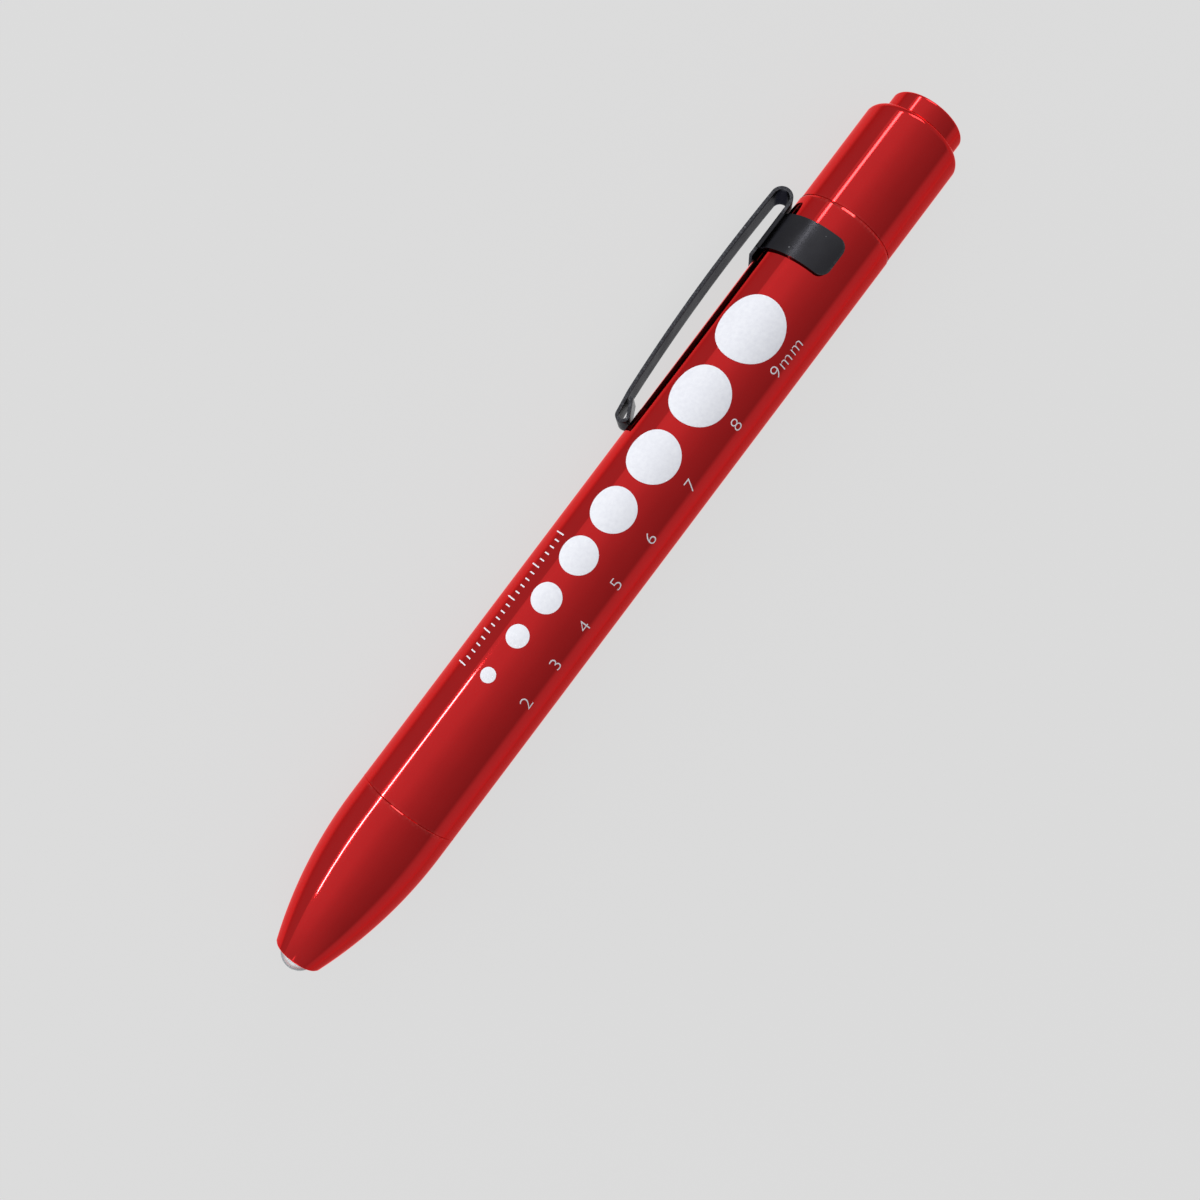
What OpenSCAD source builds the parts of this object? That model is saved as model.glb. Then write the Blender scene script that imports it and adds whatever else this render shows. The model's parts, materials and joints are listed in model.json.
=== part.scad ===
// Pupil-gauge penlight: an anodised aluminium tube for two slim cells, with a screwed-on
// lamp head, a push button in a screwed-on tail cap and a folded spring-steel pocket clip.
// The pen lies along X with its lamp towards -X. X = 0 is the seam of head and barrel, on
// the pen's axis, and the pen is rolled so that its clip's band and arm lie on a table.

/* [Cells] */
// Diameter of one cell
cell_d = 10.5; // [10:0.1:11.5]
// Length of one cell with its terminal
cell_len = 44.5; // [40:0.5:50]
// Diameter of a cell's positive terminal
terminal_d = 3.8; // [3:0.1:4.8]
// Height of a cell's positive terminal
terminal_h = 1.0; // [0.6:0.1:1.6]
// Depth of the crimped groove below a cell's shoulder
crimp_depth = 0.3; // [0.1:0.05:0.6]

/* [Barrel] */
// Wall of the barrel under the thread
thread_wall = 0.55; // [0.4:0.05:0.9]
// Height of the thread
thread_h = 0.25; // [0.15:0.05:0.4]
// Thread pitch
thread_pitch = 0.75; // [0.5:0.05:1]
// Turns of thread on each end of the barrel
thread_turns = 6; // [4:1:8]
// Length of the plain land between thread and shoulder
land_len = 1.5; // [1:0.1:2.5]
// Wall of the head and the barrel outside the thread
shell_wall = 0.7; // [0.5:0.05:1.2]
// Depth of the bevel on the edges of the seams
seam_bevel = 0.25; // [0.1:0.05:0.4]
// Length of that bevel along the pen
seam_reach = 0.25; // [0.2:0.05:0.6]

/* [Head] */
// Length of the head that shows
head_len = 23.5; // [21.5:0.5:30]
// Straight part of the head behind its ogive
head_straight = 3.0; // [1:0.25:5]
// Wall of the rim around the lamp
rim_wall = 0.6; // [0.3:0.05:0.8]

/* [Lamp] */
// Diameter of the lamp's dome
lamp_d = 5.0; // [4.5:0.1:5.5]
// Length of the lamp from its base to the tip of its dome
lamp_len = 8.7; // [7.5:0.1:10]
// How far the dome stands out of the rim
lamp_out = 1.7; // [0.8:0.1:2.4]
// Width of the lamp's base flange beyond its dome
lamp_flange_w = 0.4; // [0.2:0.05:0.6]
// Thickness of the lamp's base flange
lamp_flange_t = 1.0; // [0.8:0.1:1.5]
// Side of the lamp's square leads
lead_w = 0.5; // [0.4:0.05:0.6]
// Distance between the lamp's two leads
lead_pitch = 2.54; // [2.3:0.02:2.8]
// How far the leads reach into the dome
lead_in = 4.0; // [3:0.25:4.5]
// Diameter of the reflector cup on the cathode lead
cup_d = 1.9; // [1.5:0.1:2.2]
// Depth of the reflector cup
cup_h = 0.8; // [0.5:0.1:1]
// Wall of the reflector cup at its mouth
cup_wall = 0.12; // [0.08:0.02:0.2]

/* [Lamp holder] */
// Diameter of the holder's nose behind the lamp
holder_nose_d = 6.8; // [6.4:0.1:7.4]
// Diameter of the holder's middle
holder_body_d = 9.8; // [8.5:0.1:10.2]
// Length of the holder's middle
holder_body_len = 4.0; // [2.5:0.25:4.5]
// Thickness of the holder's flange
holder_flange_t = 1.2; // [0.8:0.1:1.6]
// Diameter of the contact that meets the front cell
contact_d = 5.2; // [4.8:0.1:6.5]
// Thickness of that contact
contact_t = 0.6; // [0.4:0.05:1]
// Diameter of that contact's shank
shank_d = 1.4; // [1:0.1:1.6]
// Length of that contact's shank
shank_len = 2.4; // [1.5:0.1:4]
// How far behind the seam the front cell starts
contact_in = 1.0; // [0:0.1:3]

/* [Tail] */
// Step from the barrel's radius down to the tail cap's
cap_step = 0.1; // [0:0.05:0.3]
// Rounding of the tail cap's end
cap_edge_r = 1.2; // [0.5:0.1:1.5]
// Thickness of the lip that keeps the button in
lip_t = 2.0; // [1.6:0.1:4]
// Thickness of the ring that keeps the switch in
ring_t = 0.6; // [0.4:0.05:1]
// Width of that ring
ring_w = 1.2; // [0.8:0.1:1.6]
// Width of the two spanner notches in that ring
notch_w = 1.4; // [1:0.1:2]
// Thickness of the insulating bush's flange
bush_flange_t = 0.8; // [0.7:0.05:1.5]
// Length of the insulating bush behind its flange
bush_len = 1.3; // [1:0.1:2.5]

/* [Button] */
// Diameter of the button
button_d = 10.4; // [8:0.1:10.6]
// How far the button stands out of the cap
button_out = 2.9; // [2:0.1:4]
// How far the button can be pressed
button_travel = 1.5; // [0.8:0.1:1.8]
// Rounding of the button's end
button_edge_r = 0.45; // [0.3:0.05:1.4]
// Width of the button's inner flange
button_flange_w = 0.4; // [0.3:0.05:0.6]
// Thickness of the button's inner flange
button_flange_t = 1.0; // [0.6:0.1:1.5]
// Wall of the hollow button
button_wall = 1.5; // [1:0.1:1.8]
// Thickness of the button's end
button_top_t = 1.9; // [1.6:0.1:2.4]
// Room between the pressed button and the bush
press_room = 1.05; // [0.5:0.05:2]
// Diameter of the contact pin in the button
plunger_d = 2.4; // [1.8:0.1:3]
// How deep that pin sits in the button's end
plunger_grip = 0.9; // [0.5:0.1:1.2]

/* [Switch contact and springs] */
// Diameter of the contact disc behind the cells
disc_d = 8.4; // [7.6:0.1:9.2]
// Thickness of the contact disc
disc_t = 0.5; // [0.3:0.05:0.6]
// Diameter of the disc's stem
stem_d = 1.8; // [1.4:0.1:2.2]
// Diameter of the stem's riveted head
stem_head_d = 3.2; // [2.8:0.1:3.8]
// Thickness of the stem's riveted head
stem_head_t = 0.4; // [0.3:0.05:0.6]
// Length of the battery spring with the cap screwed on
spring_len = 8.65; // [6.5:0.05:10]
// Mean diameter of the battery spring at the disc
spring_base_d = 7.2; // [6:0.1:7.6]
// Mean diameter of the battery spring at the cell
spring_tip_d = 4.4; // [3.5:0.1:5.5]
// Turns of the battery spring
spring_turns = 5; // [3:1:6]
// Wire of the battery spring
spring_wire = 0.5; // [0.4:0.05:0.6]
// Mean diameter of the return spring
return_d = 5.2; // [4.8:0.1:6]
// Turns of the return spring
return_turns = 6; // [4:1:7]
// Wire of the return spring
return_wire = 0.4; // [0.3:0.05:0.5]

/* [Clip] */
// Thickness of the clip's strip
strip_t = 0.45; // [0.35:0.05:0.6]
// Width of the clip's strip
strip_w = 5.0; // [3:0.1:5.5]
// How far the strip's flat end stands out of the band
strip_lead = 1.25; // [0.5:0.05:2.5]
// Length of the band along the barrel
band_len = 5.3; // [4.5:0.1:9]
// Angle of the band around the barrel
band_angle = 222; // [200:1:250]
// Rounding of the band's corners
band_corner_r = 1.4; // [1:0.1:2.2]
// Distance from the tail seam to the band
band_back = 3.5; // [3:0.1:6]
// Distance from the tail seam to the clip's fold
fold_back = 0.3; // [0.2:0.05:0.8]
// Inside radius of the clip's fold
fold_in_r = 1.05; // [0.8:0.05:1.5]
// Length of the clip from its fold to its rolled foot
clip_len = 36.6; // [30:0.2:42]
// Radius of the clip arm's slight bow
arm_bow_r = 250; // [180:5:400]
// Radius of the rolled foot
foot_r = 0.95; // [0.75:0.01:1.1]
// Length of the rolled foot
foot_len = 3.9; // [3.2:0.1:5]
// Rise of the arm behind the rolled foot
foot_rise = 0.45; // [0.2:0.05:0.8]

/* [Pupil gauge] */
// Diameter of the smallest printed dot
gauge_first = 2; // [1:0.5:3]
// How much larger each next dot is
gauge_step = 1; // [0.5:0.5:1]
// Clear gaps between one dot and the next
gauge_gaps = [3.4, 2.3, 2.0, 1.5, 1.6, 1.9, 1.8]; // [0.5:0.1:4]
// Distance from the largest dot to the clip's band
gauge_back = 5.5; // [2:0.1:10]
// Angle between the row of dots and the clip
gauge_angle = 81.7; // [60:0.1:120]
// Thickness of the printed ink
ink_t = 0.05; // [0.03:0.01:0.08]

/* [Clearances] */
// Radial gap between a cell and the barrel's bore
cell_play = 0.15; // [0.05:0.05:0.3]
// Radial gap of head, cap and clip where they turn on the barrel
turn_fit = 0.05; // [0.02:0.01:0.1]
// Radial gap of pieces that slide in a bore
slide_fit = 0.1; // [0.05:0.01:0.15]
// Gap between faces that bear on each other
seat = 0.02; // [0.01:0.01:0.05]
// Gap between the barrel's end and the switch's ring
end_gap = 0.1; // [0.05:0.05:0.4]
// Gap between the clip's foot and the barrel
foot_gap = 0.1; // [0.08:0.01:0.2]

/* [Hidden] */
$fn = 96;
// Sides of the large arcs of the head's ogive and of the clip's arm
arc_fn = 1440;
// Sides of a dot's outline, and rings a turn and sides of a spring's wire
dot_sides = 48;
coil_rings = 16;
coil_sides = 6;
// Overhang of a cutting shape past the face that it cuts
cut = 1;

// Radii of the nested tubes, from the cells outwards
bore_r = cell_d / 2 + cell_play;
root_r = bore_r + thread_wall;
land_r = root_r + thread_h;
socket_r = land_r + turn_fit;
barrel_r = socket_r + shell_wall;
cap_r = barrel_r - cap_step;
thread_len = thread_pitch * (thread_turns + 1);
spigot_len = land_len + thread_len;

// Places along the axis, from the lamp's tip to the button's end
lamp_tip = -head_len - lamp_out;
lamp_back = lamp_tip + lamp_len;
flange_front = lamp_back - lamp_flange_t;
leads_x = lamp_back - lead_in;
holder_flange_x = -spigot_len - seat - holder_flange_t;
holder_body_x = holder_flange_x - holder_body_len;
cells_x = contact_in + seat;
cells_end = cells_x + 2 * (cell_len + seat);
disc_x = cells_end + spring_len;
tail_x = disc_x - spigot_len - end_gap - ring_t;
cap_x = tail_x + seat;
bush_step_x = disc_x + bush_flange_t;
bush_back = bush_step_x + bush_len;
stem_back = bush_back + seat + stem_head_t;
lip_x = bush_back + press_room + button_travel + button_flange_t + seat;
cap_end = lip_x + lip_t;
button_end = cap_end + button_out;
plunger_tip = stem_back + button_travel + turn_fit;
plunger_end = button_end - button_top_t + plunger_grip;

// Radii of the head's and the tail's pieces
lamp_r = lamp_d / 2;
lamp_hole_r = lamp_r + slide_fit;
rim_r = lamp_hole_r + rim_wall;
ogive_len = head_len - head_straight;
ogive_r = (ogive_len ^ 2 + (barrel_r - rim_r) ^ 2) / (2 * (barrel_r - rim_r));
button_r = button_d / 2;
button_flange_r = button_r + button_flange_w;
chamber_r = button_flange_r + slide_fit;
cap_fillet = min(cap_edge_r, cap_r - button_r - slide_fit - seat);

// The clip's side view, as radius from the pen's axis and place along it
band_in = barrel_r + turn_fit;
band_out = band_in + strip_t;
strip_in = band_in + turn_fit;
band_x = tail_x - band_back - band_len;
strip_x = band_x - strip_lead;
fold_out_r = fold_in_r + strip_t;
fold_x = tail_x - fold_back - fold_out_r;
fold_c = [strip_in + fold_out_r, fold_x];
arm_root = [fold_c[0] + fold_out_r, fold_x];
foot_c = [barrel_r + foot_gap + foot_r, tail_x - fold_back - clip_len + foot_r];
arm_tip = [foot_c[0] + foot_r + foot_rise, foot_c[1] - foot_r + foot_len];
arm_span = arm_root - arm_tip;
arm_half = norm(arm_span) / 2;
arm_out = [arm_span[1], -arm_span[0]] / norm(arm_span);
arm_c = (arm_root + arm_tip) / 2 - arm_out * sqrt(arm_bow_r ^ 2 - arm_half ^ 2);
clip_reach = arm_c[0] + arm_bow_r;

// Roll of the clip and of the dots from straight up, with the clip's band and arm on a table
clip_turn = acos(-band_out / norm([clip_reach, strip_w / 2])) - atan2(strip_w / 2, clip_reach);
dots_turn = clip_turn - gauge_angle;

// Size and place of each printed dot, counted back from the clip's band
gauge_last = len(gauge_gaps);
function gauge_size(i) = gauge_first + i * gauge_step;
function gauge_x(i) = i == gauge_last
    ? band_x - gauge_back - gauge_size(i) / 2
    : gauge_x(i + 1) - (gauge_size(i) + gauge_size(i + 1)) / 2 - gauge_gaps[i];

// Lays a piece that is drawn along Z down along X
module lay() { rotate([0, 90, 0]) children(); }

// Turns a piece's +X side to an angle from straight up, towards +Y
module at_turn(angle) { lay() rotate([0, 0, 180 - angle]) children(); }

// A piece that is round about the pen's axis, from its outline as radius and place
module turned() { lay() rotate_extrude() children(); }

// Outline of a plain cylinder from one place to another
module run(r, from, to) { translate([0, from]) square([r, to - from]); }

// Outline of a cylinder whose far end is rounded
module rounded_run(r, from, to, edge) {
    run(r, from, to - edge);
    run(r - edge, from, to);
    translate([r - edge, to - edge]) circle(edge);
}

// Outline of the head's outside: straight, then an ogive down to a rounded rim
module head_outline() {
    rim_edge = rim_wall / 2;
    polygon([
        [0, -head_straight], [barrel_r, -head_straight], [barrel_r, -seat - seam_reach],
        [barrel_r - seam_bevel, -seat], [0, -seat]
    ]);
    intersection() {
        translate([barrel_r - ogive_r, -head_straight]) circle(ogive_r, $fn = arc_fn);
        run(barrel_r, rim_edge - head_len, -head_straight);
    }
    run(rim_r - rim_edge, -head_len, -head_straight);
    translate([rim_r - rim_edge, rim_edge - head_len]) circle(rim_edge);
}

module head_shell() {
    color("firebrick") turned() difference() {
        head_outline();
        run(lamp_hole_r, -head_len - cut, 0);
        run(holder_nose_d / 2 + slide_fit, flange_front - seat, 0);
        run(holder_body_d / 2 + slide_fit, holder_body_x - seat, 0);
        run(socket_r, holder_flange_x - seat, cut);
    }
}

// A square lead beside the axis, with room around it for the hole that takes it
module lead(side, from, to, room = 0) {
    w = lead_w + 2 * room;
    lay() translate([side * lead_pitch / 2 - w / 2, -w / 2, from]) cube([w, w, to - from]);
}

// The cathode lead's way out over the holder's nose to the head
module lead_hook(room = 0) {
    w = lead_w + 2 * room;
    leg_r = holder_nose_d / 2 - lead_w - room;
    lay() {
        translate([-leg_r - w, -w / 2, lamp_back - cut * room]) cube([leg_r + w, w, w]);
        translate([-leg_r - w, -w / 2, lamp_back - cut * room])
            cube([w, w, holder_body_x - lamp_back + cut * room]);
    }
}

// The reflector cup that holds the lamp's chip, on the arm of its post
module cup_post(post_end) {
    mouth = leads_x - cup_h;
    floor = leads_x - cup_h / 4;
    turned() difference() {
        run(cup_d / 2, mouth, leads_x + lead_w / 2);
        polygon([
            [0, mouth - cut], [cup_d / 2 - cup_wall, mouth - cut], [cup_d / 2 - cup_wall, mouth],
            [cup_d / 4, floor], [0, floor]
        ]);
    }
    lay() translate([-(lead_pitch + lead_w) / 2, -lead_w / 2, leads_x])
        cube([(lead_pitch + lead_w) / 2 + cup_d / 4, lead_w, lead_w]);
    lead(-1, leads_x, post_end);
}

module anode_lead() {
    color("silver") lead(1, leads_x, contact_in - contact_t - seat);
}

module cathode_lead() {
    color("silver") {
        cup_post(lamp_back + lead_w);
        lead_hook();
    }
}

module lamp() {
    color("whitesmoke", 0.6) difference() {
        turned() {
            intersection() {
                translate([0, lamp_tip + lamp_r]) circle(lamp_r);
                run(lamp_r, lamp_tip, lamp_back);
            }
            run(lamp_r, lamp_tip + lamp_r, lamp_back);
            run(lamp_r + lamp_flange_w, flange_front, lamp_back);
        }
        lead(1, leads_x, lamp_back + cut);
        cup_post(lamp_back + cut);
    }
}

module lamp_holder() {
    holder_end = contact_in - contact_t;
    flange_back = holder_flange_x + holder_flange_t;
    color("ivory") difference() {
        turned() {
            run(holder_nose_d / 2, lamp_back + seat, flange_back);
            run(holder_body_d / 2, holder_body_x, flange_back);
            run(socket_r - slide_fit, holder_flange_x, flange_back);
            run(bore_r - slide_fit, holder_flange_x, holder_end);
        }
        lead(1, lamp_back - cut, holder_end + cut, seat);
        lead_hook(seat);
        turned() run(shank_d / 2 + seat, holder_end - shank_len - seat, holder_end + cut);
    }
}

module lamp_contact() {
    color("goldenrod") turned() {
        run(shank_d / 2, contact_in - contact_t - shank_len, contact_in);
        run(contact_d / 2, contact_in - contact_t + seat, contact_in);
    }
}

module barrel() {
    end = tail_x + spigot_len;
    bevel = thread_h;
    color("firebrick") turned() polygon([
        [bore_r, -spigot_len], [root_r - bevel, -spigot_len], [root_r, bevel - spigot_len],
        [root_r, -land_len], [land_r, bevel - land_len], [land_r, 0],
        [barrel_r - seam_bevel, 0], [barrel_r, seam_reach],
        [barrel_r, tail_x - seam_reach], [barrel_r - seam_bevel, tail_x],
        [land_r, tail_x], [land_r, tail_x + land_len - bevel], [root_r, tail_x + land_len],
        [root_r, end - bevel], [root_r - bevel, end], [bore_r, end]
    ]);
}

// Outline of a round dot as it lies when wrapped on the barrel, seen square on
module dot_outline(d) {
    polygon([
        for (i = [0 : dot_sides - 1])
            let (a = 360 * i / dot_sides, arc = d / 2 * sin(a))
            [d / 2 * cos(a), barrel_r * sin(arc / barrel_r * 180 / PI)]
    ]);
}

module gauge_dots() {
    ink_in = barrel_r + seat / 2;
    color("white") intersection() {
        turned() difference() {
            run(ink_in + ink_t, 0, tail_x);
            run(ink_in, -cut, tail_x + cut);
        }
        union() for (i = [0 : gauge_last])
            at_turn(dots_turn) translate([0, 0, gauge_x(i)]) rotate([0, 90, 0])
                rotate([0, 0, 180]) linear_extrude(barrel_r + cut) dot_outline(gauge_size(i));
    }
}

// A cell with its positive terminal towards the lamp
module cell(x) {
    shoulder = x + terminal_h;
    groove = shoulder + cell_d / 4;
    turned() difference() {
        union() {
            run(terminal_d / 2, x, shoulder + crimp_depth);
            run(cell_d / 2 - crimp_depth, shoulder, x + cell_len);
            run(cell_d / 2, shoulder + crimp_depth, x + cell_len - crimp_depth);
        }
        translate([cell_d / 2, groove]) circle(crimp_depth);
    }
}

module front_cell() { color("dimgray") cell(cells_x); }

module rear_cell() { color("dimgray") cell(cells_x + cell_len + seat); }

// The clip's strip from its side view, and the clip's place on the barrel
module clip_strip() { rotate([90, 0, 0]) linear_extrude(strip_w, center = true) children(); }

// What is cut off one end of the band to round its two corners, seen square on. The corners'
// circles reach a hair past the band's edges, so that they cross them cleanly.
module band_end_cut() {
    inset = band_corner_r - seat;
    difference() {
        translate([0, -cut]) square([2 * band_corner_r + cut, band_len + 2 * cut]);
        translate([-cut, inset]) square([band_corner_r + cut, band_len - 2 * inset]);
        for (z = [inset, band_len - inset]) translate([0, z]) circle(band_corner_r);
    }
}

// One wing of the band before it is bored, from inside the strip to its rounded end
module wing() {
    corner = asin(band_corner_r / band_out);
    from = asin(strip_w / 4 / band_in);
    to = band_angle / 2 - corner;
    difference() {
        rotate([0, 0, from]) rotate_extrude(angle = to + 2 * corner - from)
            translate([band_in - cut, 0]) square([strip_t + cut, band_len]);
        rotate([90, 0, 90 + to]) linear_extrude(band_out + cut) band_end_cut();
    }
}

module clip_band() {
    color("dimgray") at_turn(clip_turn) difference() {
        union() {
            for (side = [0, 1]) mirror([0, side, 0]) translate([0, 0, band_x]) wing();
            clip_strip() {
                translate([band_in - cut, band_x]) square([strip_in - band_in + strip_t / 2 + cut, band_len]);
                translate([strip_in, strip_x]) square([strip_t, fold_x - strip_x]);
                intersection() {
                    translate(fold_c) difference() {
                        circle(fold_out_r);
                        circle(fold_in_r);
                    }
                    translate([0, fold_x]) square([arm_root[0] + cut, fold_out_r + cut]);
                }
            }
        }
        translate([0, 0, band_x - cut]) cylinder(r = band_in, h = band_len + 2 * cut);
    }
}

// Direction from a circle's centre to where a line from a point touches it
function touch_dir(point, centre, r, side) =
    let (to = point - centre, a = atan2(to[1], to[0]) + side * acos(r / norm(to)))
    [cos(a), sin(a)];

// Where two lines meet that lie a distance from a centre, square to two directions
function lines_meet(centre, n1, n2, dist) =
    let (det = n1[0] * n2[1] - n1[1] * n2[0])
    centre + dist * [n2[1] - n1[1], n1[0] - n2[0]] / det;

// Outline of the foot: the strip's end rolled back on itself, like a drop
module foot_outline() {
    inner_r = foot_r - strip_t;
    arm_in = arm_tip + (arm_c - arm_tip) / norm(arm_c - arm_tip) * strip_t;
    top = touch_dir(arm_tip, foot_c, foot_r, -1);
    low = touch_dir(arm_in, foot_c, foot_r, 1);
    difference() {
        union() {
            translate(foot_c) circle(foot_r);
            polygon([arm_in, foot_c + foot_r * low, foot_c, foot_c + foot_r * top, arm_tip]);
        }
        translate(foot_c) circle(inner_r);
        polygon([
            lines_meet(foot_c, top, low, inner_r), foot_c + inner_r * low,
            foot_c, foot_c + inner_r * top
        ]);
    }
}

module clip_arm() {
    color("dimgray") at_turn(clip_turn) clip_strip() {
        intersection() {
            translate(arm_c) difference() {
                circle(arm_bow_r, $fn = arc_fn);
                circle(arm_bow_r - strip_t, $fn = arc_fn);
            }
            translate([0, arm_tip[1]]) square([clip_reach + cut, fold_x - arm_tip[1]]);
        }
        foot_outline();
    }
}

module tail_cap() {
    color("firebrick") turned() difference() {
        union() {
            rounded_run(cap_r, cap_x + seam_reach, cap_end, cap_fillet);
            polygon([
                [0, cap_x], [cap_r - seam_bevel, cap_x], [cap_r, cap_x + seam_reach],
                [cap_r, cap_x + 2 * seam_reach], [0, cap_x + 2 * seam_reach]
            ]);
        }
        run(socket_r, tail_x - cut, bush_step_x);
        run(chamber_r, bush_step_x - cut, lip_x);
        run(button_r + slide_fit, lip_x - cut, cap_end + cut);
    }
}

module switch_bush() {
    color("ivory") turned() difference() {
        union() {
            run(socket_r - turn_fit, disc_x + seat, bush_step_x - seat);
            run(chamber_r - turn_fit, disc_x + seat, bush_back);
        }
        run(disc_d / 2 + slide_fit, disc_x - cut, disc_x + disc_t + seat);
        run(stem_d / 2 + slide_fit, disc_x - cut, bush_back + cut);
    }
}

module switch_ring() {
    color("goldenrod") difference() {
        turned() difference() {
            run(socket_r - turn_fit, disc_x - ring_t, disc_x);
            run(socket_r - ring_w, disc_x - ring_t - cut, disc_x + cut);
        }
        lay() translate([-notch_w / 2, -socket_r, disc_x - ring_t - cut])
            cube([notch_w, 2 * socket_r, cut + ring_t / 2]);
    }
}

module contact_disc() {
    color("goldenrod") turned() {
        run(disc_d / 2, disc_x, disc_x + disc_t);
        run(stem_d / 2, disc_x, stem_back);
        run(stem_head_d / 2, bush_back + seat, stem_back);
    }
}

// A point on a coil's wire, with u from 0 at its start to 1 at its end
function coil_point(u, r0, r1, from, to, turns) =
    let (a = 360 * turns * u, r = r0 + (r1 - r0) * u)
    [r * cos(a), r * sin(a), from + (to - from) * u];

// A coil of round wire about the pen's axis, as one unbroken tube
module coil(name, r0, r1, from, to, turns, wire) {
    count = turns * coil_rings;
    low = from + wire / 2;
    high = to - wire / 2;
    path = [for (i = [0 : count]) coil_point(i / count, r0, r1, low, high, turns)];
    ring = function (i)
        let (
            p = path[i],
            along = path[min(i + 1, count)] - path[max(i - 1, 0)],
            out = [p[0], p[1], 0] / norm([p[0], p[1]]),
            across = cross(along, out) / norm(cross(along, out))
        )
        [for (k = [0 : coil_sides - 1])
            let (a = 360 * k / coil_sides) p + wire / 2 * (cos(a) * out + sin(a) * across)];
    next = function (k) (k + 1) % coil_sides;
    start = [for (k = [1 : coil_sides - 2]) [0, k, k + 1]];
    last = count * coil_sides;
    sides = [
        for (i = [0 : count - 1], k = [0 : coil_sides - 1])
            let (a = i * coil_sides, b = a + coil_sides)
            each [[a + k, b + k, b + next(k)], [a + k, b + next(k), a + next(k)]]
    ];
    end = [for (k = [1 : coil_sides - 2]) [last, last + k + 1, last + k]];
    gap = min([for (i = [0 : count - coil_rings]) norm(path[i + coil_rings] - path[i])]) - wire;
    echo(str(name, ": least gap between turns ", gap, " mm"));
    lay() polyhedron([for (i = [0 : count]) each ring(i)], concat(start, sides, end));
}

module battery_spring() {
    color("lightsteelblue") coil(
        "battery_spring", spring_tip_d / 2, spring_base_d / 2,
        cells_end + seat, disc_x - seat, spring_turns, spring_wire
    );
}

module button() {
    color("firebrick") turned() difference() {
        union() {
            rounded_run(button_r, lip_x - seat - button_flange_t, button_end, button_edge_r);
            run(button_flange_r, lip_x - seat - button_flange_t, lip_x - seat);
        }
        run(button_r - button_wall, bush_back, button_end - button_top_t);
        run(plunger_d / 2, bush_back, plunger_end);
    }
}

module plunger() { color("goldenrod") turned() run(plunger_d / 2, plunger_tip, plunger_end); }

module return_spring() {
    color("lightsteelblue") coil(
        "return_spring", return_d / 2, return_d / 2,
        bush_back + seat, button_end - button_top_t - seat, return_turns, return_wire
    );
}

head_shell();
lamp();
anode_lead();
cathode_lead();
lamp_holder();
lamp_contact();
barrel();
gauge_dots();
front_cell();
rear_cell();
clip_band();
clip_arm();
tail_cap();
switch_bush();
switch_ring();
contact_disc();
battery_spring();
button();
plunger();
return_spring();
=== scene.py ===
# %% [markdown]
# # A pupil-gauge penlight
# A medical penlight: a red anodised tube for two slim cells, with a lamp in a bullet-shaped head,
# a push button in the tail, a black spring clip and a row of printed dots for judging pupils.
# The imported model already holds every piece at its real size. This lesson gives those pieces
# their finish, builds smooth shells over the turned ones and adds what is too fine for solids.

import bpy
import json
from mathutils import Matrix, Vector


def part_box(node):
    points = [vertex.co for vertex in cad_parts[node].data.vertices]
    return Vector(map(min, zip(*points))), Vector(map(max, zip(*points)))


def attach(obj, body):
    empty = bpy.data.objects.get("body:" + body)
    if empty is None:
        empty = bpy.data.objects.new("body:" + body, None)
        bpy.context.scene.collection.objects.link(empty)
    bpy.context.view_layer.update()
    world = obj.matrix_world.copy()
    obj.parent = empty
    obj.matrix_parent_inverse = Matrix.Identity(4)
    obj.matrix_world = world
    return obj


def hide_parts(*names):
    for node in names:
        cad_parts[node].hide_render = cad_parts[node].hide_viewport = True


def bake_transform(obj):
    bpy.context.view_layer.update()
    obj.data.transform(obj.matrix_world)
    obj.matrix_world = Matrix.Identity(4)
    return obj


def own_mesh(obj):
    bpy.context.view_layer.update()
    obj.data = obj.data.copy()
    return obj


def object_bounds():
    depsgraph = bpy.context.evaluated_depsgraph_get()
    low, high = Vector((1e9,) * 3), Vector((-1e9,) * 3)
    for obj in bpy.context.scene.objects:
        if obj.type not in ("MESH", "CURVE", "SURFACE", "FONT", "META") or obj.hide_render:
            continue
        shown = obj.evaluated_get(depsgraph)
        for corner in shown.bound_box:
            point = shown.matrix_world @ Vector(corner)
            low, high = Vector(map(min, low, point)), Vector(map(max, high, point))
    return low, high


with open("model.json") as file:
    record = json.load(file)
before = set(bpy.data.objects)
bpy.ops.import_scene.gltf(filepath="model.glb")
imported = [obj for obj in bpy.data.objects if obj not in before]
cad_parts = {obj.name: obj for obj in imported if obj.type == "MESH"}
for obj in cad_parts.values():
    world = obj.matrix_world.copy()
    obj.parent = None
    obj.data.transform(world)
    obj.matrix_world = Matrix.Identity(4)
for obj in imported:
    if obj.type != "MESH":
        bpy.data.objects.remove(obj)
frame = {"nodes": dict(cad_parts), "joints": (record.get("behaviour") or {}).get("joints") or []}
cad_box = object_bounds()

# %% [markdown]
# ## The sizes that everything hangs on
# The pen lies along X, lamp towards -X, with X = 0 at the seam of head and barrel. Its main sizes
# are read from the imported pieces, so a new pack carries them into this scene. Only sizes that no
# box can tell, such as a wall or a bevel, are written again, in millimetres.

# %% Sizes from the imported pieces
import json
import math

import bmesh
import bpy
from mathutils import Matrix, Vector

MM = 0.001
barrel_lo, barrel_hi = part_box("barrel")
head_lo, head_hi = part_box("head_shell")
cap_lo, cap_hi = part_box("tail_cap")
button_lo, button_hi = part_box("button")
lamp_lo, lamp_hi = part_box("lamp")
band_lo, band_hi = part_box("clip_band")
arm_lo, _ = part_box("clip_arm")
dots_lo, dots_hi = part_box("gauge_dots")

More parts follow.
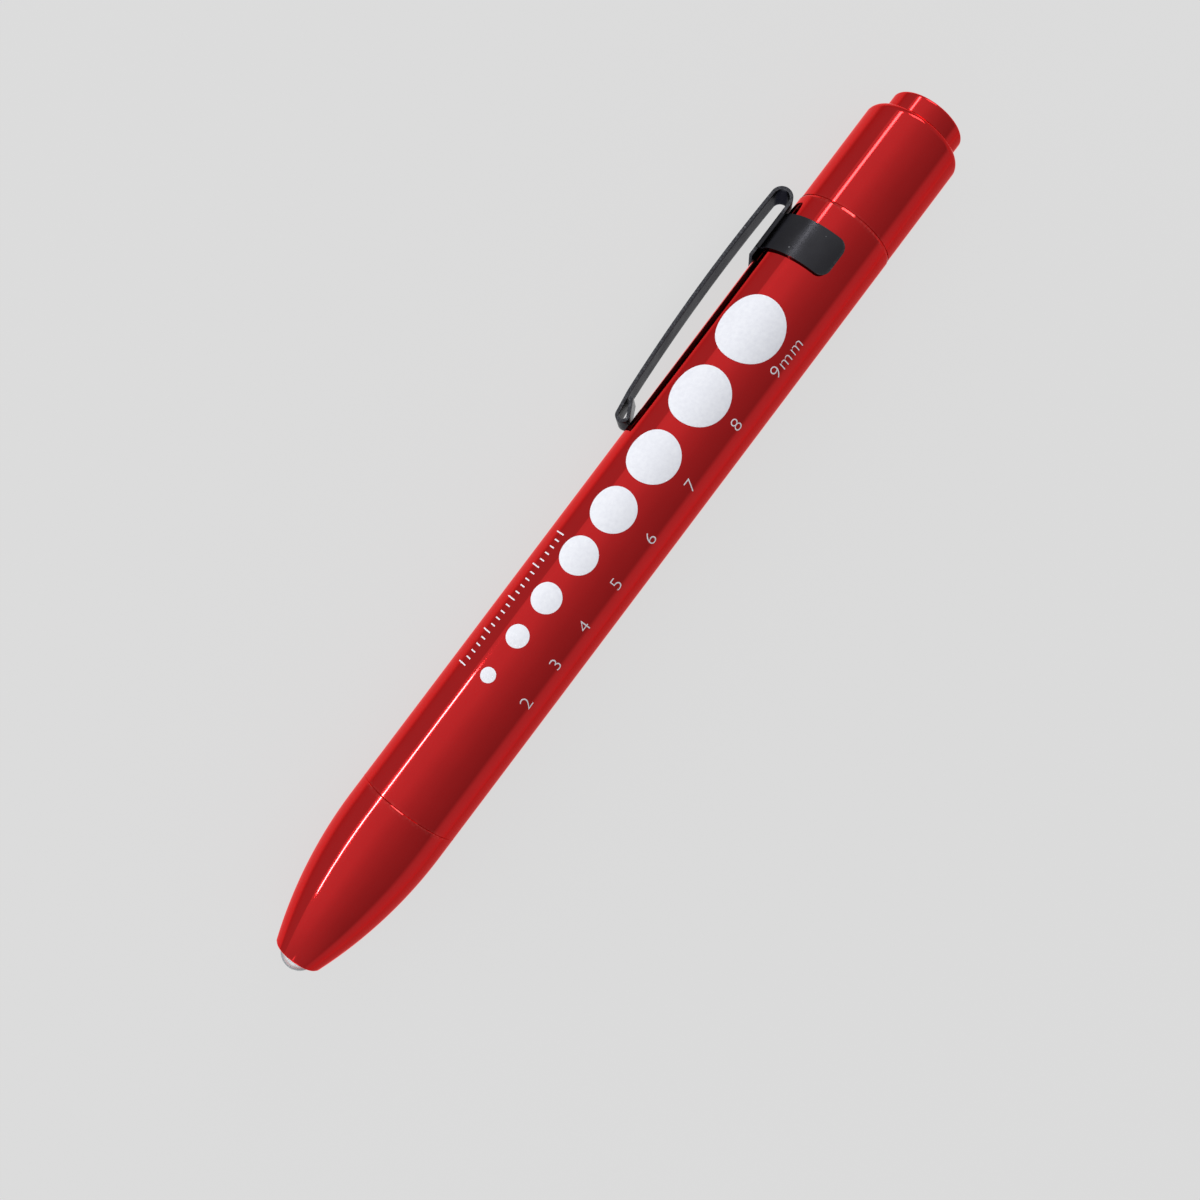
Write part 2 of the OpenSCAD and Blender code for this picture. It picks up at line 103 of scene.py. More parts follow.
pen_start, pen_end = head_lo.x, button_hi.x
barrel_r = barrel_hi.z
cap_r = cap_hi.z
spigot_len = -barrel_lo.x
tail_seam = barrel_hi.x - spigot_len
joints = {joint["name"]: joint for joint in frame["joints"]}
flex_hinge = Vector(joints["clip_flex"]["pos_m"])
clip_turn = math.atan2(flex_hinge.y, flex_hinge.z)
print(f"barrel {2 * barrel_r / MM:.2f} mm across, clip {math.degrees(clip_turn):.1f} degrees round")

# %% [markdown]
# ## The camera
# The photograph looks almost straight down on the row of dots from about 17 cm, so the far ends
# of the pen shrink a little. The view is set up round the pen as the photograph shows it and is
# then rolled with the pen, which lies on its clip's band and arm here.

# %% Camera
# Fitted to the photograph: how far round the pen its clip is from the view, how the pen slopes,
# and the camera's tilt, place and lens
CLIP_FROM_VIEW = math.radians(97.0)
PEN_SLOPE = math.radians(53.0)
VIEW_TILT = math.radians(-1.28)
VIEW_FROM = Vector((31.26, -3.52, 169.35)) * MM
SENSOR_WIDTH = 36.0
LENS = 40.17
NEAREST_SEEN = 10 * MM

pen_roll = Matrix.Rotation(CLIP_FROM_VIEW - clip_turn, 4, "X")


def pen_turn(angle_in_view):
    """An angle round the pen from straight up, from one that the photograph shows."""
    return angle_in_view + clip_turn - CLIP_FROM_VIEW


camera_data = bpy.data.cameras.new("Photo view")
camera_data.sensor_width = SENSOR_WIDTH
camera_data.lens = LENS
camera_data.clip_start = NEAREST_SEEN
camera = bpy.data.objects.new("Photo view", camera_data)
camera.matrix_world = (
    pen_roll
    @ Matrix.Translation(VIEW_FROM)
    @ Matrix.Rotation(VIEW_TILT, 4, "Y")
    @ Matrix.Rotation(-PEN_SLOPE, 4, "Z")
)
bpy.context.scene.collection.objects.link(camera)
bpy.context.scene.camera = camera
print("camera at", [round(v / MM, 1) for v in camera.matrix_world.translation])

# %% [markdown]
# ## Nodes without clutter
# Every material, and the light of the room, is a small tree of nodes. One function adds a node
# with its settings and links, and one turns the sRGB hex colours that people write into the
# linear numbers that Blender renders with.

# %% Node and colour helpers
def add_node(tree, kind, inputs=None, **settings):
    """Adds a node, sets it up, and fills or links its inputs by name or number."""
    node = tree.nodes.new(kind)
    for name, value in settings.items():
        setattr(node, name, value)
    for key, value in (inputs or {}).items():
        if isinstance(value, bpy.types.NodeSocket):
            tree.links.new(value, node.inputs[key])
        else:
            node.inputs[key].default_value = value
    return node


def linear(hex_colour):
    """An sRGB hex colour such as C8102E as linear red, green, blue and alpha."""
    parts = [int(hex_colour[i:i + 2], 16) / 255 for i in (0, 2, 4)]
    return [p / 12.92 if p <= 0.04045 else ((p + 0.055) / 1.055) ** 2.4 for p in parts] + [1.0]


def per_mm(size):
    """The texture scale at which one cell of a pattern is this many millimetres wide."""
    return 1 / (size * MM)


def set_stops(ramp, stops):
    """Gives a colour ramp these stops, each a place from 0 to 1 and a linear colour."""
    elements = ramp.color_ramp.elements
    while len(elements) < len(stops):
        elements.new(1.0)
    for element, (place, colour) in zip(elements, stops):
        element.position = place
        element.color = colour


# %% [markdown]
# ## Room and light
# A shiny round bar shows nothing but its surroundings, as bands along its length. So the soft
# light is a dome that changes only round the pen's axis: dim overhead on the right, brighter
# towards the left and at the right horizon. Two soft lamps beyond the ends of the pen light the
# print and the floor and glint only in the bevels of the seams, and two small strips draw the
# barrel's bright lines.

# %% Studio dome
# Brightness by the angle round the pen, in degrees from straight up towards +Y
DOME = (
    (-90, 0.78), (-62, 0.62), (-52, 0.36), (-12, 0.46), (23, 0.62), (47, 0.80), (77, 0.88), (90, 0.84),
)
# Brightness beyond the pen's ends, and the share of X in a direction at which it starts and is full
DOME_ENDS = 0.6
ENDS_START = 0.6
ENDS_FULL = 0.95

world = bpy.data.worlds.new("Studio dome")
world.use_nodes = True
bpy.context.scene.world = world
tree = world.node_tree
tree.nodes.clear()
direction = add_node(tree, "ShaderNodeTexCoord").outputs["Generated"]
axes = add_node(tree, "ShaderNodeSeparateXYZ", {0: direction}).outputs
roll = add_node(tree, "ShaderNodeMath", {0: axes["Y"], 1: axes["Z"]}, operation="ARCTAN2").outputs[0]
place = add_node(
    tree, "ShaderNodeMapRange", {"Value": roll, "From Min": -math.pi, "From Max": math.pi}
)
dome = add_node(tree, "ShaderNodeValToRGB", {"Fac": place.outputs["Result"]})
set_stops(dome, [((degrees + 180) / 360, [level] * 3 + [1]) for degrees, level in DOME])
along = add_node(tree, "ShaderNodeMath", {0: axes["X"]}, operation="ABSOLUTE").outputs[0]
end_share = add_node(
    tree, "ShaderNodeMapRange", {"Value": along, "From Min": ENDS_START, "From Max": ENDS_FULL},
    interpolation_type="SMOOTHSTEP",
)
light = add_node(
    tree, "ShaderNodeMix",
    {"Factor": end_share.outputs["Result"], "A": dome.outputs["Color"], "B": [DOME_ENDS] * 3 + [1]},
    data_type="RGBA",
)
sky = add_node(tree, "ShaderNodeBackground", {"Color": light.outputs[2]})
add_node(tree, "ShaderNodeOutputWorld", {"Surface": sky.outputs[0]})
print("dome levels:", [level for _, level in DOME])


# %% Lamps
# Distance of the strips from the pen's axis, and each strip's place along the pen, angle from
# straight up, width, height and power, in metres, degrees and watts
STRIP_AWAY = 0.5
STRIPS = (("Nose strip", -0.19, 82.5, 0.34, 0.021, 1.2), ("Tail strip", 0.35, 79, 0.18, 0.045, 0.26))


def add_lamp(name, place, aim, width, height, power):
    """A rectangular soft lamp in metres and watts that faces a point, unseen by the camera."""
    data = bpy.data.lights.new(name, "AREA")
    data.shape = "RECTANGLE"
    data.size = width
    data.size_y = height
    data.energy = power
    lamp = bpy.data.objects.new(name, data)
    lamp.location = place
    lamp.rotation_euler = (Vector(aim) - Vector(place)).to_track_quat("-Z", "Y").to_euler()
    lamp.visible_camera = False
    bpy.context.scene.collection.objects.link(lamp)


def round_axis(x, degrees, distance):
    """A point at a distance from the pen's axis, at an angle from straight up towards +Y."""
    angle = math.radians(degrees)
    return Vector((x, distance * math.sin(angle), distance * math.cos(angle)))


middle = Vector(((pen_start + pen_end) / 2, 0, 0))
nose_end = middle + Vector((-0.90, 0, 0.20))
tail_end = middle + Vector((0.87, 0.38, 0.29))
add_lamp("Nose end lamp", nose_end, middle, width=0.5, height=0.5, power=0.9)
add_lamp("Tail end lamp", tail_end, middle, width=0.44, height=0.26, power=1.8)
for name, x, degrees, width, height, power in STRIPS:
    add_lamp(name, round_axis(x, degrees, STRIP_AWAY), (x, 0, 0), width, height, power)


# %% [markdown]
# ## Materials
# Every finish below starts in the same way: an empty tree, one Principled shader and the Object
# coordinates of its piece. Those are in metres and move with the piece, so a grain or a ring keeps
# its real size and its place on the metal.

# %% A start for each material
def new_material(name):
    """A material with an empty tree, its Principled shader and its Object coordinates."""
    material = bpy.data.materials.new(name)
    material.use_nodes = True
    tree = material.node_tree
    tree.nodes.clear()
    shader = add_node(tree, "ShaderNodeBsdfPrincipled")
    add_node(tree, "ShaderNodeOutputMaterial", {"Surface": shader.outputs[0]})
    coords = add_node(tree, "ShaderNodeTexCoord").outputs["Object"]
    return material, tree, shader, coords


# %% [markdown]
# ## The floor
# A plain pale sheet under the pen. It is the stage, not a piece of the object. The pen touches it with
# its clip's band and with the edge of its clip's arm. Shiny metal sees the sheet close beside it
# painted white, a painted reflection which draws the bright rims of the barrel.

# %% Floor
FLOOR_SIZE = 8.0
# Share of the floor's look that is flat, as on a lit table, so that only a soft shadow stays
FLAT_SHARE = 0.88
# The sheet's painted reflection: how it looks in shiny metal, white close beside the pen and greyer
# beyond, by the distance from the pen's axis in millimetres
SHEET_PAINTED_REFLECTION = ((-17, "D6D6D6"), (-13, "FFFFFF"), (13, "FFFFFF"), (17, "C6C6C6"))
LOOK_REACH = 20

floor_mesh = bpy.data.meshes.new("Floor")
half = FLOOR_SIZE / 2
floor_z = cad_box[0][2]
floor_mesh.from_pydata(
    [(-half, -half, floor_z), (half, -half, floor_z), (half, half, floor_z), (-half, half, floor_z)],
    [], [(0, 1, 2, 3)],
)
floor = bpy.data.objects.new("Floor", floor_mesh)
bpy.context.scene.collection.objects.link(floor)
paper, tree, shader, coords = new_material("Matt paper sweep")
shader.inputs["Base Color"].default_value = linear("E2E2E2")
shader.inputs["Roughness"].default_value = 0.9
shader.inputs["Specular IOR Level"].default_value = 0.0
rays = add_node(tree, "ShaderNodeLightPath").outputs
seen = add_node(
    tree, "ShaderNodeMath",
    {0: rays["Is Camera Ray"], 1: FLAT_SHARE, 2: rays["Is Glossy Ray"]}, operation="MULTIPLY_ADD",
)
seen = add_node(
    tree, "ShaderNodeMath", {0: seen.outputs[0], 1: rays["Is Transmission Ray"]}, operation="ADD"
)
across = add_node(tree, "ShaderNodeSeparateXYZ", {0: coords}).outputs["Y"]
place = add_node(
    tree, "ShaderNodeMapRange",
    {"Value": across, "From Min": -LOOK_REACH * MM, "From Max": LOOK_REACH * MM},
)
# Painted reflection: shiny metal sees the sheet white close beside the pen, while the camera sees its
# even tone
painted_reflection = add_node(tree, "ShaderNodeValToRGB", {"Fac": place.outputs["Result"]})
set_stops(painted_reflection, [((y / LOOK_REACH + 1) / 2, linear(look)) for y, look in SHEET_PAINTED_REFLECTION])
tone = add_node(
    tree, "ShaderNodeMix",
    {"Factor": rays["Is Glossy Ray"], "A": linear("DFDFDF"), "B": painted_reflection.outputs["Color"]},
    data_type="RGBA",
)
flat = add_node(tree, "ShaderNodeEmission", {"Color": tone.outputs[2]})
sheet = add_node(
    tree, "ShaderNodeMixShader", {0: seen.outputs[0], 1: shader.outputs[0], 2: flat.outputs[0]}
)
tree.links.new(sheet.outputs[0], tree.nodes["Material Output"].inputs["Surface"])
floor_mesh.materials.append(paper)
print(f"floor at {floor_z / MM:.2f} mm")

# %% [markdown]
# ## Red anodised aluminium
# Head, barrel, tail cap and button are turned from aluminium, brightened and dyed red in the pores
# of their anodic layer. The eye sees a clear hard skin over coloured metal: red reflections with
# whiter glints on top. Fine turning rings run round the pen, the gloss wanders a little, and the
# edges at the seams have lost some of their dye.

# %% Red anodised aluminium
# Patterns in millimetres. Real turning rings are finer, and these are as coarse as they need to
# be to show
WORN_EDGE = 0.35
RING_SPACING = 0.35
RING_LENGTH = 9
PATCH_SIZE = 5
RUB_SIZE = 0.3

worn_edges = [head_lo.x, 0.0, tail_seam, cap_hi.x, button_hi.x]


def wear_stops():
    """Stops of a ramp along the pen that is white at each worn edge and black between."""
    length = pen_end - pen_start
    reach = WORN_EDGE * MM / length
    stops = []
    for x in worn_edges:
        place = (x - pen_start) / length
        stops += [(place - reach, [0, 0, 0, 1]), (place, [1, 1, 1, 1]), (place + reach, [0, 0, 0, 1])]
    return [(min(max(place, 0), 1), colour) for place, colour in stops]


red_aluminium, tree, shader, coords = new_material("Anodised aluminium, turned and dyed red")
rings_at = add_node(
    tree, "ShaderNodeMapping",
    {"Vector": coords, "Scale": [per_mm(size) for size in (RING_SPACING, RING_LENGTH, RING_LENGTH)]},
)
rings = add_node(
    tree, "ShaderNodeTexNoise", {"Vector": rings_at.outputs[0], "Scale": 1.0, "Detail": 2.0}
)
patches = add_node(
    tree, "ShaderNodeTexNoise", {"Vector": coords, "Scale": per_mm(PATCH_SIZE), "Detail": 4.0}
)
rub = add_node(
    tree, "ShaderNodeTexNoise", {"Vector": coords, "Scale": per_mm(RUB_SIZE), "Detail": 2.0}
)
x_along = add_node(tree, "ShaderNodeSeparateXYZ", {0: coords}).outputs["X"]
pen_place = add_node(
    tree, "ShaderNodeMapRange", {"Value": x_along, "From Min": pen_start, "From Max": pen_end}
)
edges = add_node(tree, "ShaderNodeValToRGB", {"Fac": pen_place.outputs["Result"]})
set_stops(edges, wear_stops())
rubbed = add_node(
    tree, "ShaderNodeMapRange",
    {"Value": rub.outputs["Fac"], "From Min": 0.4, "From Max": 0.7, "To Min": 0.0, "To Max": 0.4},
)
worn = add_node(
    tree, "ShaderNodeMath",
    {0: edges.outputs["Color"], 1: rubbed.outputs["Result"]}, operation="MULTIPLY",
)
dye = add_node(
    tree, "ShaderNodeMix",
    {"Factor": patches.outputs["Fac"], "A": linear("C11F21"), "B": linear("CC2325")}, data_type="RGBA",
)
colour = add_node(
    tree, "ShaderNodeMix",
    {"Factor": worn.outputs[0], "A": dye.outputs[2], "B": linear("DB7A72")}, data_type="RGBA",
)
gloss = add_node(
    tree, "ShaderNodeMapRange",
    {"Value": patches.outputs["Fac"], "From Min": 0.3, "From Max": 0.7, "To Min": 0.05, "To Max": 0.09},
)
bump = add_node(
    tree, "ShaderNodeBump", {"Strength": 0.02, "Distance": 0.02 * MM, "Height": rings.outputs["Fac"]}
)
tree.links.new(colour.outputs[2], shader.inputs["Base Color"])
tree.links.new(gloss.outputs["Result"], shader.inputs["Roughness"])
tree.links.new(bump.outputs["Normal"], shader.inputs["Normal"])
shader.inputs["Metallic"].default_value = 1.0
shader.inputs["Specular Tint"].default_value = linear("FF605C")
shader.inputs["Coat Weight"].default_value = 0.2
shader.inputs["Coat Roughness"].default_value = 0.03
print("worn edges at", [round(x / MM, 2) for x in worn_edges])

# %% [markdown]
# ## Turned shells
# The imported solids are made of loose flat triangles, and a mirror-like bar would show every one.
# So the four red pieces are turned again from the same outlines, with smooth shading that breaks
# only at real edges. An outline is a list of places along the axis and radii, and goes once round
# the wall of the piece.

# %% A lathe
SIDES = 160
SHARP_ANGLE = math.radians(16)
MERGE_GAP = 0.001 * MM


def link_mesh(name, mesh, material):
    """A new piece at the origin with this mesh and material."""
    mesh.materials.clear()
    mesh.materials.append(material)
    piece = bpy.data.objects.new(name, mesh)
    bpy.context.scene.collection.objects.link(piece)
    return piece


def smooth(mesh):
    """Smooth shading that breaks at sharp edges, with faces pointing outwards."""
    work = bmesh.new()
    work.from_mesh(mesh)
    bmesh.ops.remove_doubles(work, verts=work.verts, dist=MERGE_GAP)
    bmesh.ops.recalc_face_normals(work, faces=work.faces)
    work.to_mesh(mesh)
    work.free()
    mesh.shade_smooth()
    mesh.set_sharp_from_angle(angle=SHARP_ANGLE)


def turn_on_lathe(name, outline, material):
    """A piece turned about the X axis from a closed outline of (place, radius) in metres."""
    points = []
    faces = []
    for side in range(SIDES):
        angle = 2 * math.pi * side / SIDES
        points += [(x, r * math.sin(angle), r * math.cos(angle)) for x, r in outline]
    count = len(outline)
    for side in range(SIDES):
        here, there = side * count, (side + 1) % SIDES * count
        for i in range(count):
            j = (i + 1) % count
            if outline[i][1] or outline[j][1]:
                faces.append((here + i, here + j, there + j, there + i))
    mesh = bpy.data.meshes.new(name)
    mesh.from_pydata(points, [], faces)
    smooth(mesh)
    print(f"{name}: {len(mesh.polygons)} faces")
    return link_mesh(name, mesh, material)


def arc(x, r, radius, start, end, steps):
    """Points on an arc about (x, r). Angles are in degrees, 0 along +X and 90 outwards."""
    angles = [math.radians(start + (end - start) * i / steps) for i in range(steps + 1)]
    return [(x + radius * math.cos(a), r + radius * math.sin(a)) for a in angles]


# %% [markdown]
# ### The barrel
# A plain tube with a threaded spigot at each end, which the head and the cap screw onto. Boolean
# cuts in a cylinder could make it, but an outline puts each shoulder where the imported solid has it,
# and draws the bevel at the tail seam as fine as the photograph shows it.

# %% Barrel
SEAM_BEVEL = 0.12 * MM
SEAM_REACH = 0.3 * MM
BORE_R = 5.4 * MM
THREAD_ROOT_R = 5.95 * MM
LAND_R = 6.2 * MM
LAND_LEN = 1.5 * MM
THREAD_H = LAND_R - THREAD_ROOT_R
# Cuts along the barrel, which keep its long faces from being slivers
BARREL_CUTS = 60


def spigot(shoulder, way):
    """Outline of one threaded end, from its shoulder outwards to its bore. way is -1 or 1."""
    end = shoulder + way * spigot_len
    return [
        (shoulder, LAND_R), (shoulder + way * (LAND_LEN - THREAD_H), LAND_R),
        (shoulder + way * LAND_LEN, THREAD_ROOT_R), (end - way * THREAD_H, THREAD_ROOT_R),
        (end, THREAD_ROOT_R - THREAD_H), (end, BORE_R),
    ]


barrel_outline = (
    list(reversed(spigot(0.0, -1)))
    + [(tail_seam * i / BARREL_CUTS, barrel_r) for i in range(BARREL_CUTS)]
    + [(tail_seam - SEAM_REACH, barrel_r), (tail_seam, barrel_r - SEAM_BEVEL)]
    + spigot(tail_seam, 1)
)
barrel = turn_on_lathe("barrel_tube", barrel_outline, red_aluminium)
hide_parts("barrel")
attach(barrel, "barrel")

# %% [markdown]
# ### The head
# The nose is an ogive, a large arc that leaves the barrel's line without a kink and ends in a
# rounded rim about the lamp. A curve drawn by hand could look the same, but it would have to be
# drawn again for another length. So the arc's radius is worked out from its length and its drop.

# %% Head
HEAD_STRAIGHT = 3.0 * MM
HEAD_BEVEL = 0.125 * MM
HEAD_REACH = 0.16 * MM
RIM_WALL = 0.6 * MM
LAMP_HOLE_R = 2.6 * MM
SOCKET_R = 6.25 * MM
SOCKET_DEPTH = 7.99 * MM
# Room for the middle of the lamp's holder and for its nose
BODY_ROOM_R = 5.0 * MM
BODY_ROOM_DEPTH = 11.99 * MM
NOSE_ROOM_R = 3.5 * MM
NOSE_ROOM_DEPTH = 17.52 * MM
RIM_STEPS = 24
OGIVE_STEPS = 48

rim_edge = RIM_WALL / 2
rim_r = LAMP_HOLE_R + RIM_WALL
ogive_len = -head_lo.x - HEAD_STRAIGHT
ogive_drop = barrel_r - rim_r
ogive_r = (ogive_len ** 2 + ogive_drop ** 2) / (2 * ogive_drop)
ogive_end = 180 - math.degrees(math.acos((ogive_len - rim_edge) / ogive_r))
head_outline = (
    arc(head_lo.x + rim_edge, LAMP_HOLE_R + rim_edge, rim_edge, 270, 90, RIM_STEPS)[:-1]
    + arc(-HEAD_STRAIGHT, barrel_r - ogive_r, ogive_r, ogive_end, 90, OGIVE_STEPS)
    + [(head_hi.x - HEAD_REACH, barrel_r), (head_hi.x, barrel_r - HEAD_BEVEL), (head_hi.x, SOCKET_R)]
    + [(-SOCKET_DEPTH, SOCKET_R), (-SOCKET_DEPTH, BODY_ROOM_R), (-BODY_ROOM_DEPTH, BODY_ROOM_R)]
    + [(-BODY_ROOM_DEPTH, NOSE_ROOM_R), (-NOSE_ROOM_DEPTH, NOSE_ROOM_R)]
    + [(-NOSE_ROOM_DEPTH, LAMP_HOLE_R)]
)
head = turn_on_lathe("lamp_head", head_outline, red_aluminium)
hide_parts("head_shell")
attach(head, "head")

# %% [markdown]
# ### The tail cap and its button
# The cap is a cup with a rounded edge, a socket for the thread and a lip that keeps the button in.
# The button is a smaller cup, whose flange stops behind that lip. A Screw modifier could spin both,
# but the lathe gives them the same plain meshes as the barrel, and the same even shading.

# %% Tail cap
BUTTON_R = 5.2 * MM
BUTTON_PLAY = 0.1 * MM
CAP_EDGE_R = 1.2 * MM
CAP_EDGE_STEPS = 16
LIP_DEPTH = 2.0 * MM
CHAMBER_R = 5.7 * MM
CAP_SOCKET_DEPTH = 8.23 * MM
# A dark hairline shows at the tail seam, where the cap has a shallow step
HAIRLINE_W = 0.07 * MM
HAIRLINE_DEPTH = 0.22 * MM

lip_x = cap_hi.x - LIP_DEPTH
socket_end = cap_lo.x + CAP_SOCKET_DEPTH
cap_outline = (
    [(cap_lo.x, barrel_r - HAIRLINE_DEPTH), (cap_lo.x + HAIRLINE_W, barrel_r - HAIRLINE_DEPTH)]
    + [(cap_lo.x + HAIRLINE_W, cap_r)]
    + arc(cap_hi.x - CAP_EDGE_R, cap_r - CAP_EDGE_R, CAP_EDGE_R, 90, 0, CAP_EDGE_STEPS)
    + [(cap_hi.x, BUTTON_R + BUTTON_PLAY), (lip_x, BUTTON_R + BUTTON_PLAY), (lip_x, CHAMBER_R)]
    + [(socket_end, CHAMBER_R), (socket_end, SOCKET_R), (cap_lo.x, SOCKET_R)]
)
cap = turn_on_lathe("tail_cap_shell", cap_outline, red_aluminium)
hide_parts("tail_cap")
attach(cap, "tail_cap")

# %% Button
BUTTON_EDGE_R = 0.45 * MM
BUTTON_EDGE_STEPS = 14
BUTTON_WALL = 1.5 * MM
BUTTON_TOP = 1.9 * MM
BUTTON_FLANGE = 1.0 * MM

flange_x = button_lo.x + BUTTON_FLANGE
hollow_r = BUTTON_R - BUTTON_WALL
hollow_end = button_hi.x - BUTTON_TOP
button_edge = (button_hi.x - BUTTON_EDGE_R, BUTTON_R - BUTTON_EDGE_R)
button_outline = (
    [(button_lo.x, hollow_r), (button_lo.x, button_hi.z), (flange_x, button_hi.z), (flange_x, BUTTON_R)]
    + arc(*button_edge, BUTTON_EDGE_R, 90, 0, BUTTON_EDGE_STEPS)
    + [(button_hi.x, 0.0), (hollow_end, 0.0), (hollow_end, hollow_r)]
)
button = turn_on_lathe("push_button", button_outline, red_aluminium)
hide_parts("button")
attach(button, "button")

# %% [markdown]
# ## Threads under the head and the cap
# Head and cap screw onto fine threads, which show once they are unscrewed a few turns. A thread
# follows a path, so Geometry Nodes draw a spiral and sweep a round ridge along it. The same tree
# serves both ends, with its sizes as named inputs.

# %% Geometry Nodes helpers
def new_geometry_tree(name, sizes):
    """A Geometry Nodes tree with one named float input for each size, and a geometry output."""
    tree = bpy.data.node_groups.new(name, "GeometryNodeTree")
    tree.interface.new_socket("Geometry", in_out="INPUT", socket_type="NodeSocketGeometry")
    tree.interface.new_socket("Geometry", in_out="OUTPUT", socket_type="NodeSocketGeometry")
    for size in sizes:
        tree.interface.new_socket(size, in_out="INPUT", socket_type="NodeSocketFloat")
    return tree, add_node(tree, "NodeGroupInput").outputs


def end_tree(tree, geometry, material):
    """Ends a tree in real faces with one material."""
    real = add_node(tree, "GeometryNodeRealizeInstances", {"Geometry": geometry})
    painted = add_node(
        tree, "GeometryNodeSetMaterial", {"Geometry": real.outputs[0], "Material": material}
    )
    add_node(tree, "NodeGroupOutput", {0: painted.outputs[0]})


def final_mesh(piece):
    """Turns what a piece's modifiers make into its own plain mesh."""
    graph = bpy.context.evaluated_depsgraph_get()
    mesh = bpy.data.meshes.new_from_object(piece.evaluated_get(graph))
    piece.modifiers.clear()
    piece.data = mesh
    mesh.name = piece.name
    return piece


def run_tree(name, tree, sizes, mesh=None):
    """A new piece from a tree run with these sizes on a mesh, or on nothing."""
    piece = bpy.data.objects.new(name, mesh or bpy.data.meshes.new(name))
    bpy.context.scene.collection.objects.link(piece)
    modifier = piece.modifiers.new("Nodes", "NODES")
    modifier.node_group = tree
    for item in tree.interface.items_tree:
        if item.in_out == "INPUT" and item.name in sizes:
            modifier[item.identifier] = sizes[item.name]
    return final_mesh(piece)


# %% Threads
THREAD_PITCH = 0.75 * MM
THREAD_START = 0.3 * MM

tree, sizes = new_geometry_tree("Screw thread", ("Start", "Length", "Pitch", "Radius", "Ridge"))
turns = add_node(tree, "ShaderNodeMath", {0: sizes["Length"], 1: sizes["Pitch"]}, operation="DIVIDE")
spiral = add_node(
    tree, "GeometryNodeCurveSpiral",
    {"Resolution": 64, "Rotations": turns.outputs[0], "Start Radius": sizes["Radius"],
     "End Radius": sizes["Radius"], "Height": sizes["Length"]},
)
start = add_node(tree, "ShaderNodeCombineXYZ", {"X": sizes["Start"]})
laid = add_node(
    tree, "GeometryNodeTransform",
    {"Geometry": spiral.outputs[0], "Translation": start.outputs[0], "Rotation": (0, math.pi / 2, 0)},
)
ridge = add_node(tree, "GeometryNodeCurvePrimitiveCircle", {"Resolution": 8, "Radius": sizes["Ridge"]})
swept = add_node(
    tree, "GeometryNodeCurveToMesh",
    {"Curve": laid.outputs[0], "Profile Curve": ridge.outputs[0], "Fill Caps": True},
)
end_tree(tree, swept.outputs[0], red_aluminium)
thread_len = spigot_len - LAND_LEN - 2 * THREAD_START
for name, start in (("nose_thread", barrel_lo.x), ("tail_thread", tail_seam + LAND_LEN)):
    thread = run_tree(name, tree, {
        "Start": start + THREAD_START, "Length": thread_len, "Pitch": THREAD_PITCH,
        "Radius": THREAD_ROOT_R, "Ridge": THREAD_H,
    })
    smooth(thread.data)
    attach(thread, "barrel")
    print(f"{name}: {len(thread.data.polygons)} faces")

# %% [markdown]
# ## White printed ink
# The gauge is pad-printed: a thin layer of opaque white ink, matt beside the metal, a little
# uneven where the pad let go of it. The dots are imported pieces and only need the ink.

# %% White ink
white_ink, tree, shader, coords = new_material("White ink, pad-printed")
mottle = add_node(tree, "ShaderNodeTexNoise", {"Vector": coords, "Scale": per_mm(0.5), "Detail": 5.0})
thin = add_node(
    tree, "ShaderNodeMix",
    {"Factor": mottle.outputs["Fac"], "A": linear("DADCE5"), "B": linear("EEF0F6")}, data_type="RGBA",
)
rough = add_node(
    tree, "ShaderNodeMapRange",
    {"Value": mottle.outputs["Fac"], "From Min": 0.3, "From Max": 0.7, "To Min": 0.35, "To Max": 0.55},
)
bump = add_node(
    tree, "ShaderNodeBump", {"Strength": 0.15, "Distance": 0.02 * MM, "Height": mottle.outputs["Fac"]}
)
tree.links.new(thin.outputs[2], shader.inputs["Base Color"])
tree.links.new(rough.outputs["Result"], shader.inputs["Roughness"])
tree.links.new(bump.outputs["Normal"], shader.inputs["Normal"])


def paint(node, material):
    """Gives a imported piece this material."""
    for slot in frame["nodes"][node].material_slots:
        slot.material = material


paint("gauge_dots", white_ink)
print("dots from", round(dots_lo.x / MM, 2), "to", round(dots_hi.x / MM, 2), "mm")

# %% [markdown]
# ## Numerals and a millimetre scale
# Each dot has its diameter beside it, in thin numerals that read from nose to tail, and the place
# beside the small dots has a short scale of ticks. All of it is drawn flat, as print is, with X
# along the pen and Y round it, and one tree then wraps it on the barrel.

# %% A tree that wraps print on the barrel
INK_T = 0.03 * MM
INK_LIFT = 0.012 * MM

wrap_tree, sizes = new_geometry_tree("Wrap on the barrel", ("Radius", "Turn"))
position = add_node(wrap_tree, "GeometryNodeInputPosition").outputs[0]
flat = add_node(wrap_tree, "ShaderNodeSeparateXYZ", {0: position}).outputs
arc_angle = add_node(
    wrap_tree, "ShaderNodeMath", {0: flat["Y"], 1: sizes["Radius"]}, operation="DIVIDE"
)
angle = add_node(
    wrap_tree, "ShaderNodeMath", {0: arc_angle.outputs[0], 1: sizes["Turn"]}, operation="ADD"
)
radius = add_node(wrap_tree, "ShaderNodeMath", {0: flat["Z"], 1: sizes["Radius"]}, operation="ADD")
rounded = {}
for axis, operation in (("Y", "SINE"), ("Z", "COSINE")):
    part = add_node(wrap_tree, "ShaderNodeMath", {0: angle.outputs[0]}, operation=operation)
    rounded[axis] = add_node(
        wrap_tree, "ShaderNodeMath", {0: part.outputs[0], 1: radius.outputs[0]}, operation="MULTIPLY"
    ).outputs[0]
wrapped = add_node(wrap_tree, "ShaderNodeCombineXYZ", {"X": flat["X"], **rounded})
moved = add_node(
    wrap_tree, "GeometryNodeSetPosition",
    {"Geometry": wrap_tree.nodes["Group Input"].outputs[0], "Position": wrapped.outputs[0]},
)
end_tree(wrap_tree, moved.outputs[0], white_ink)


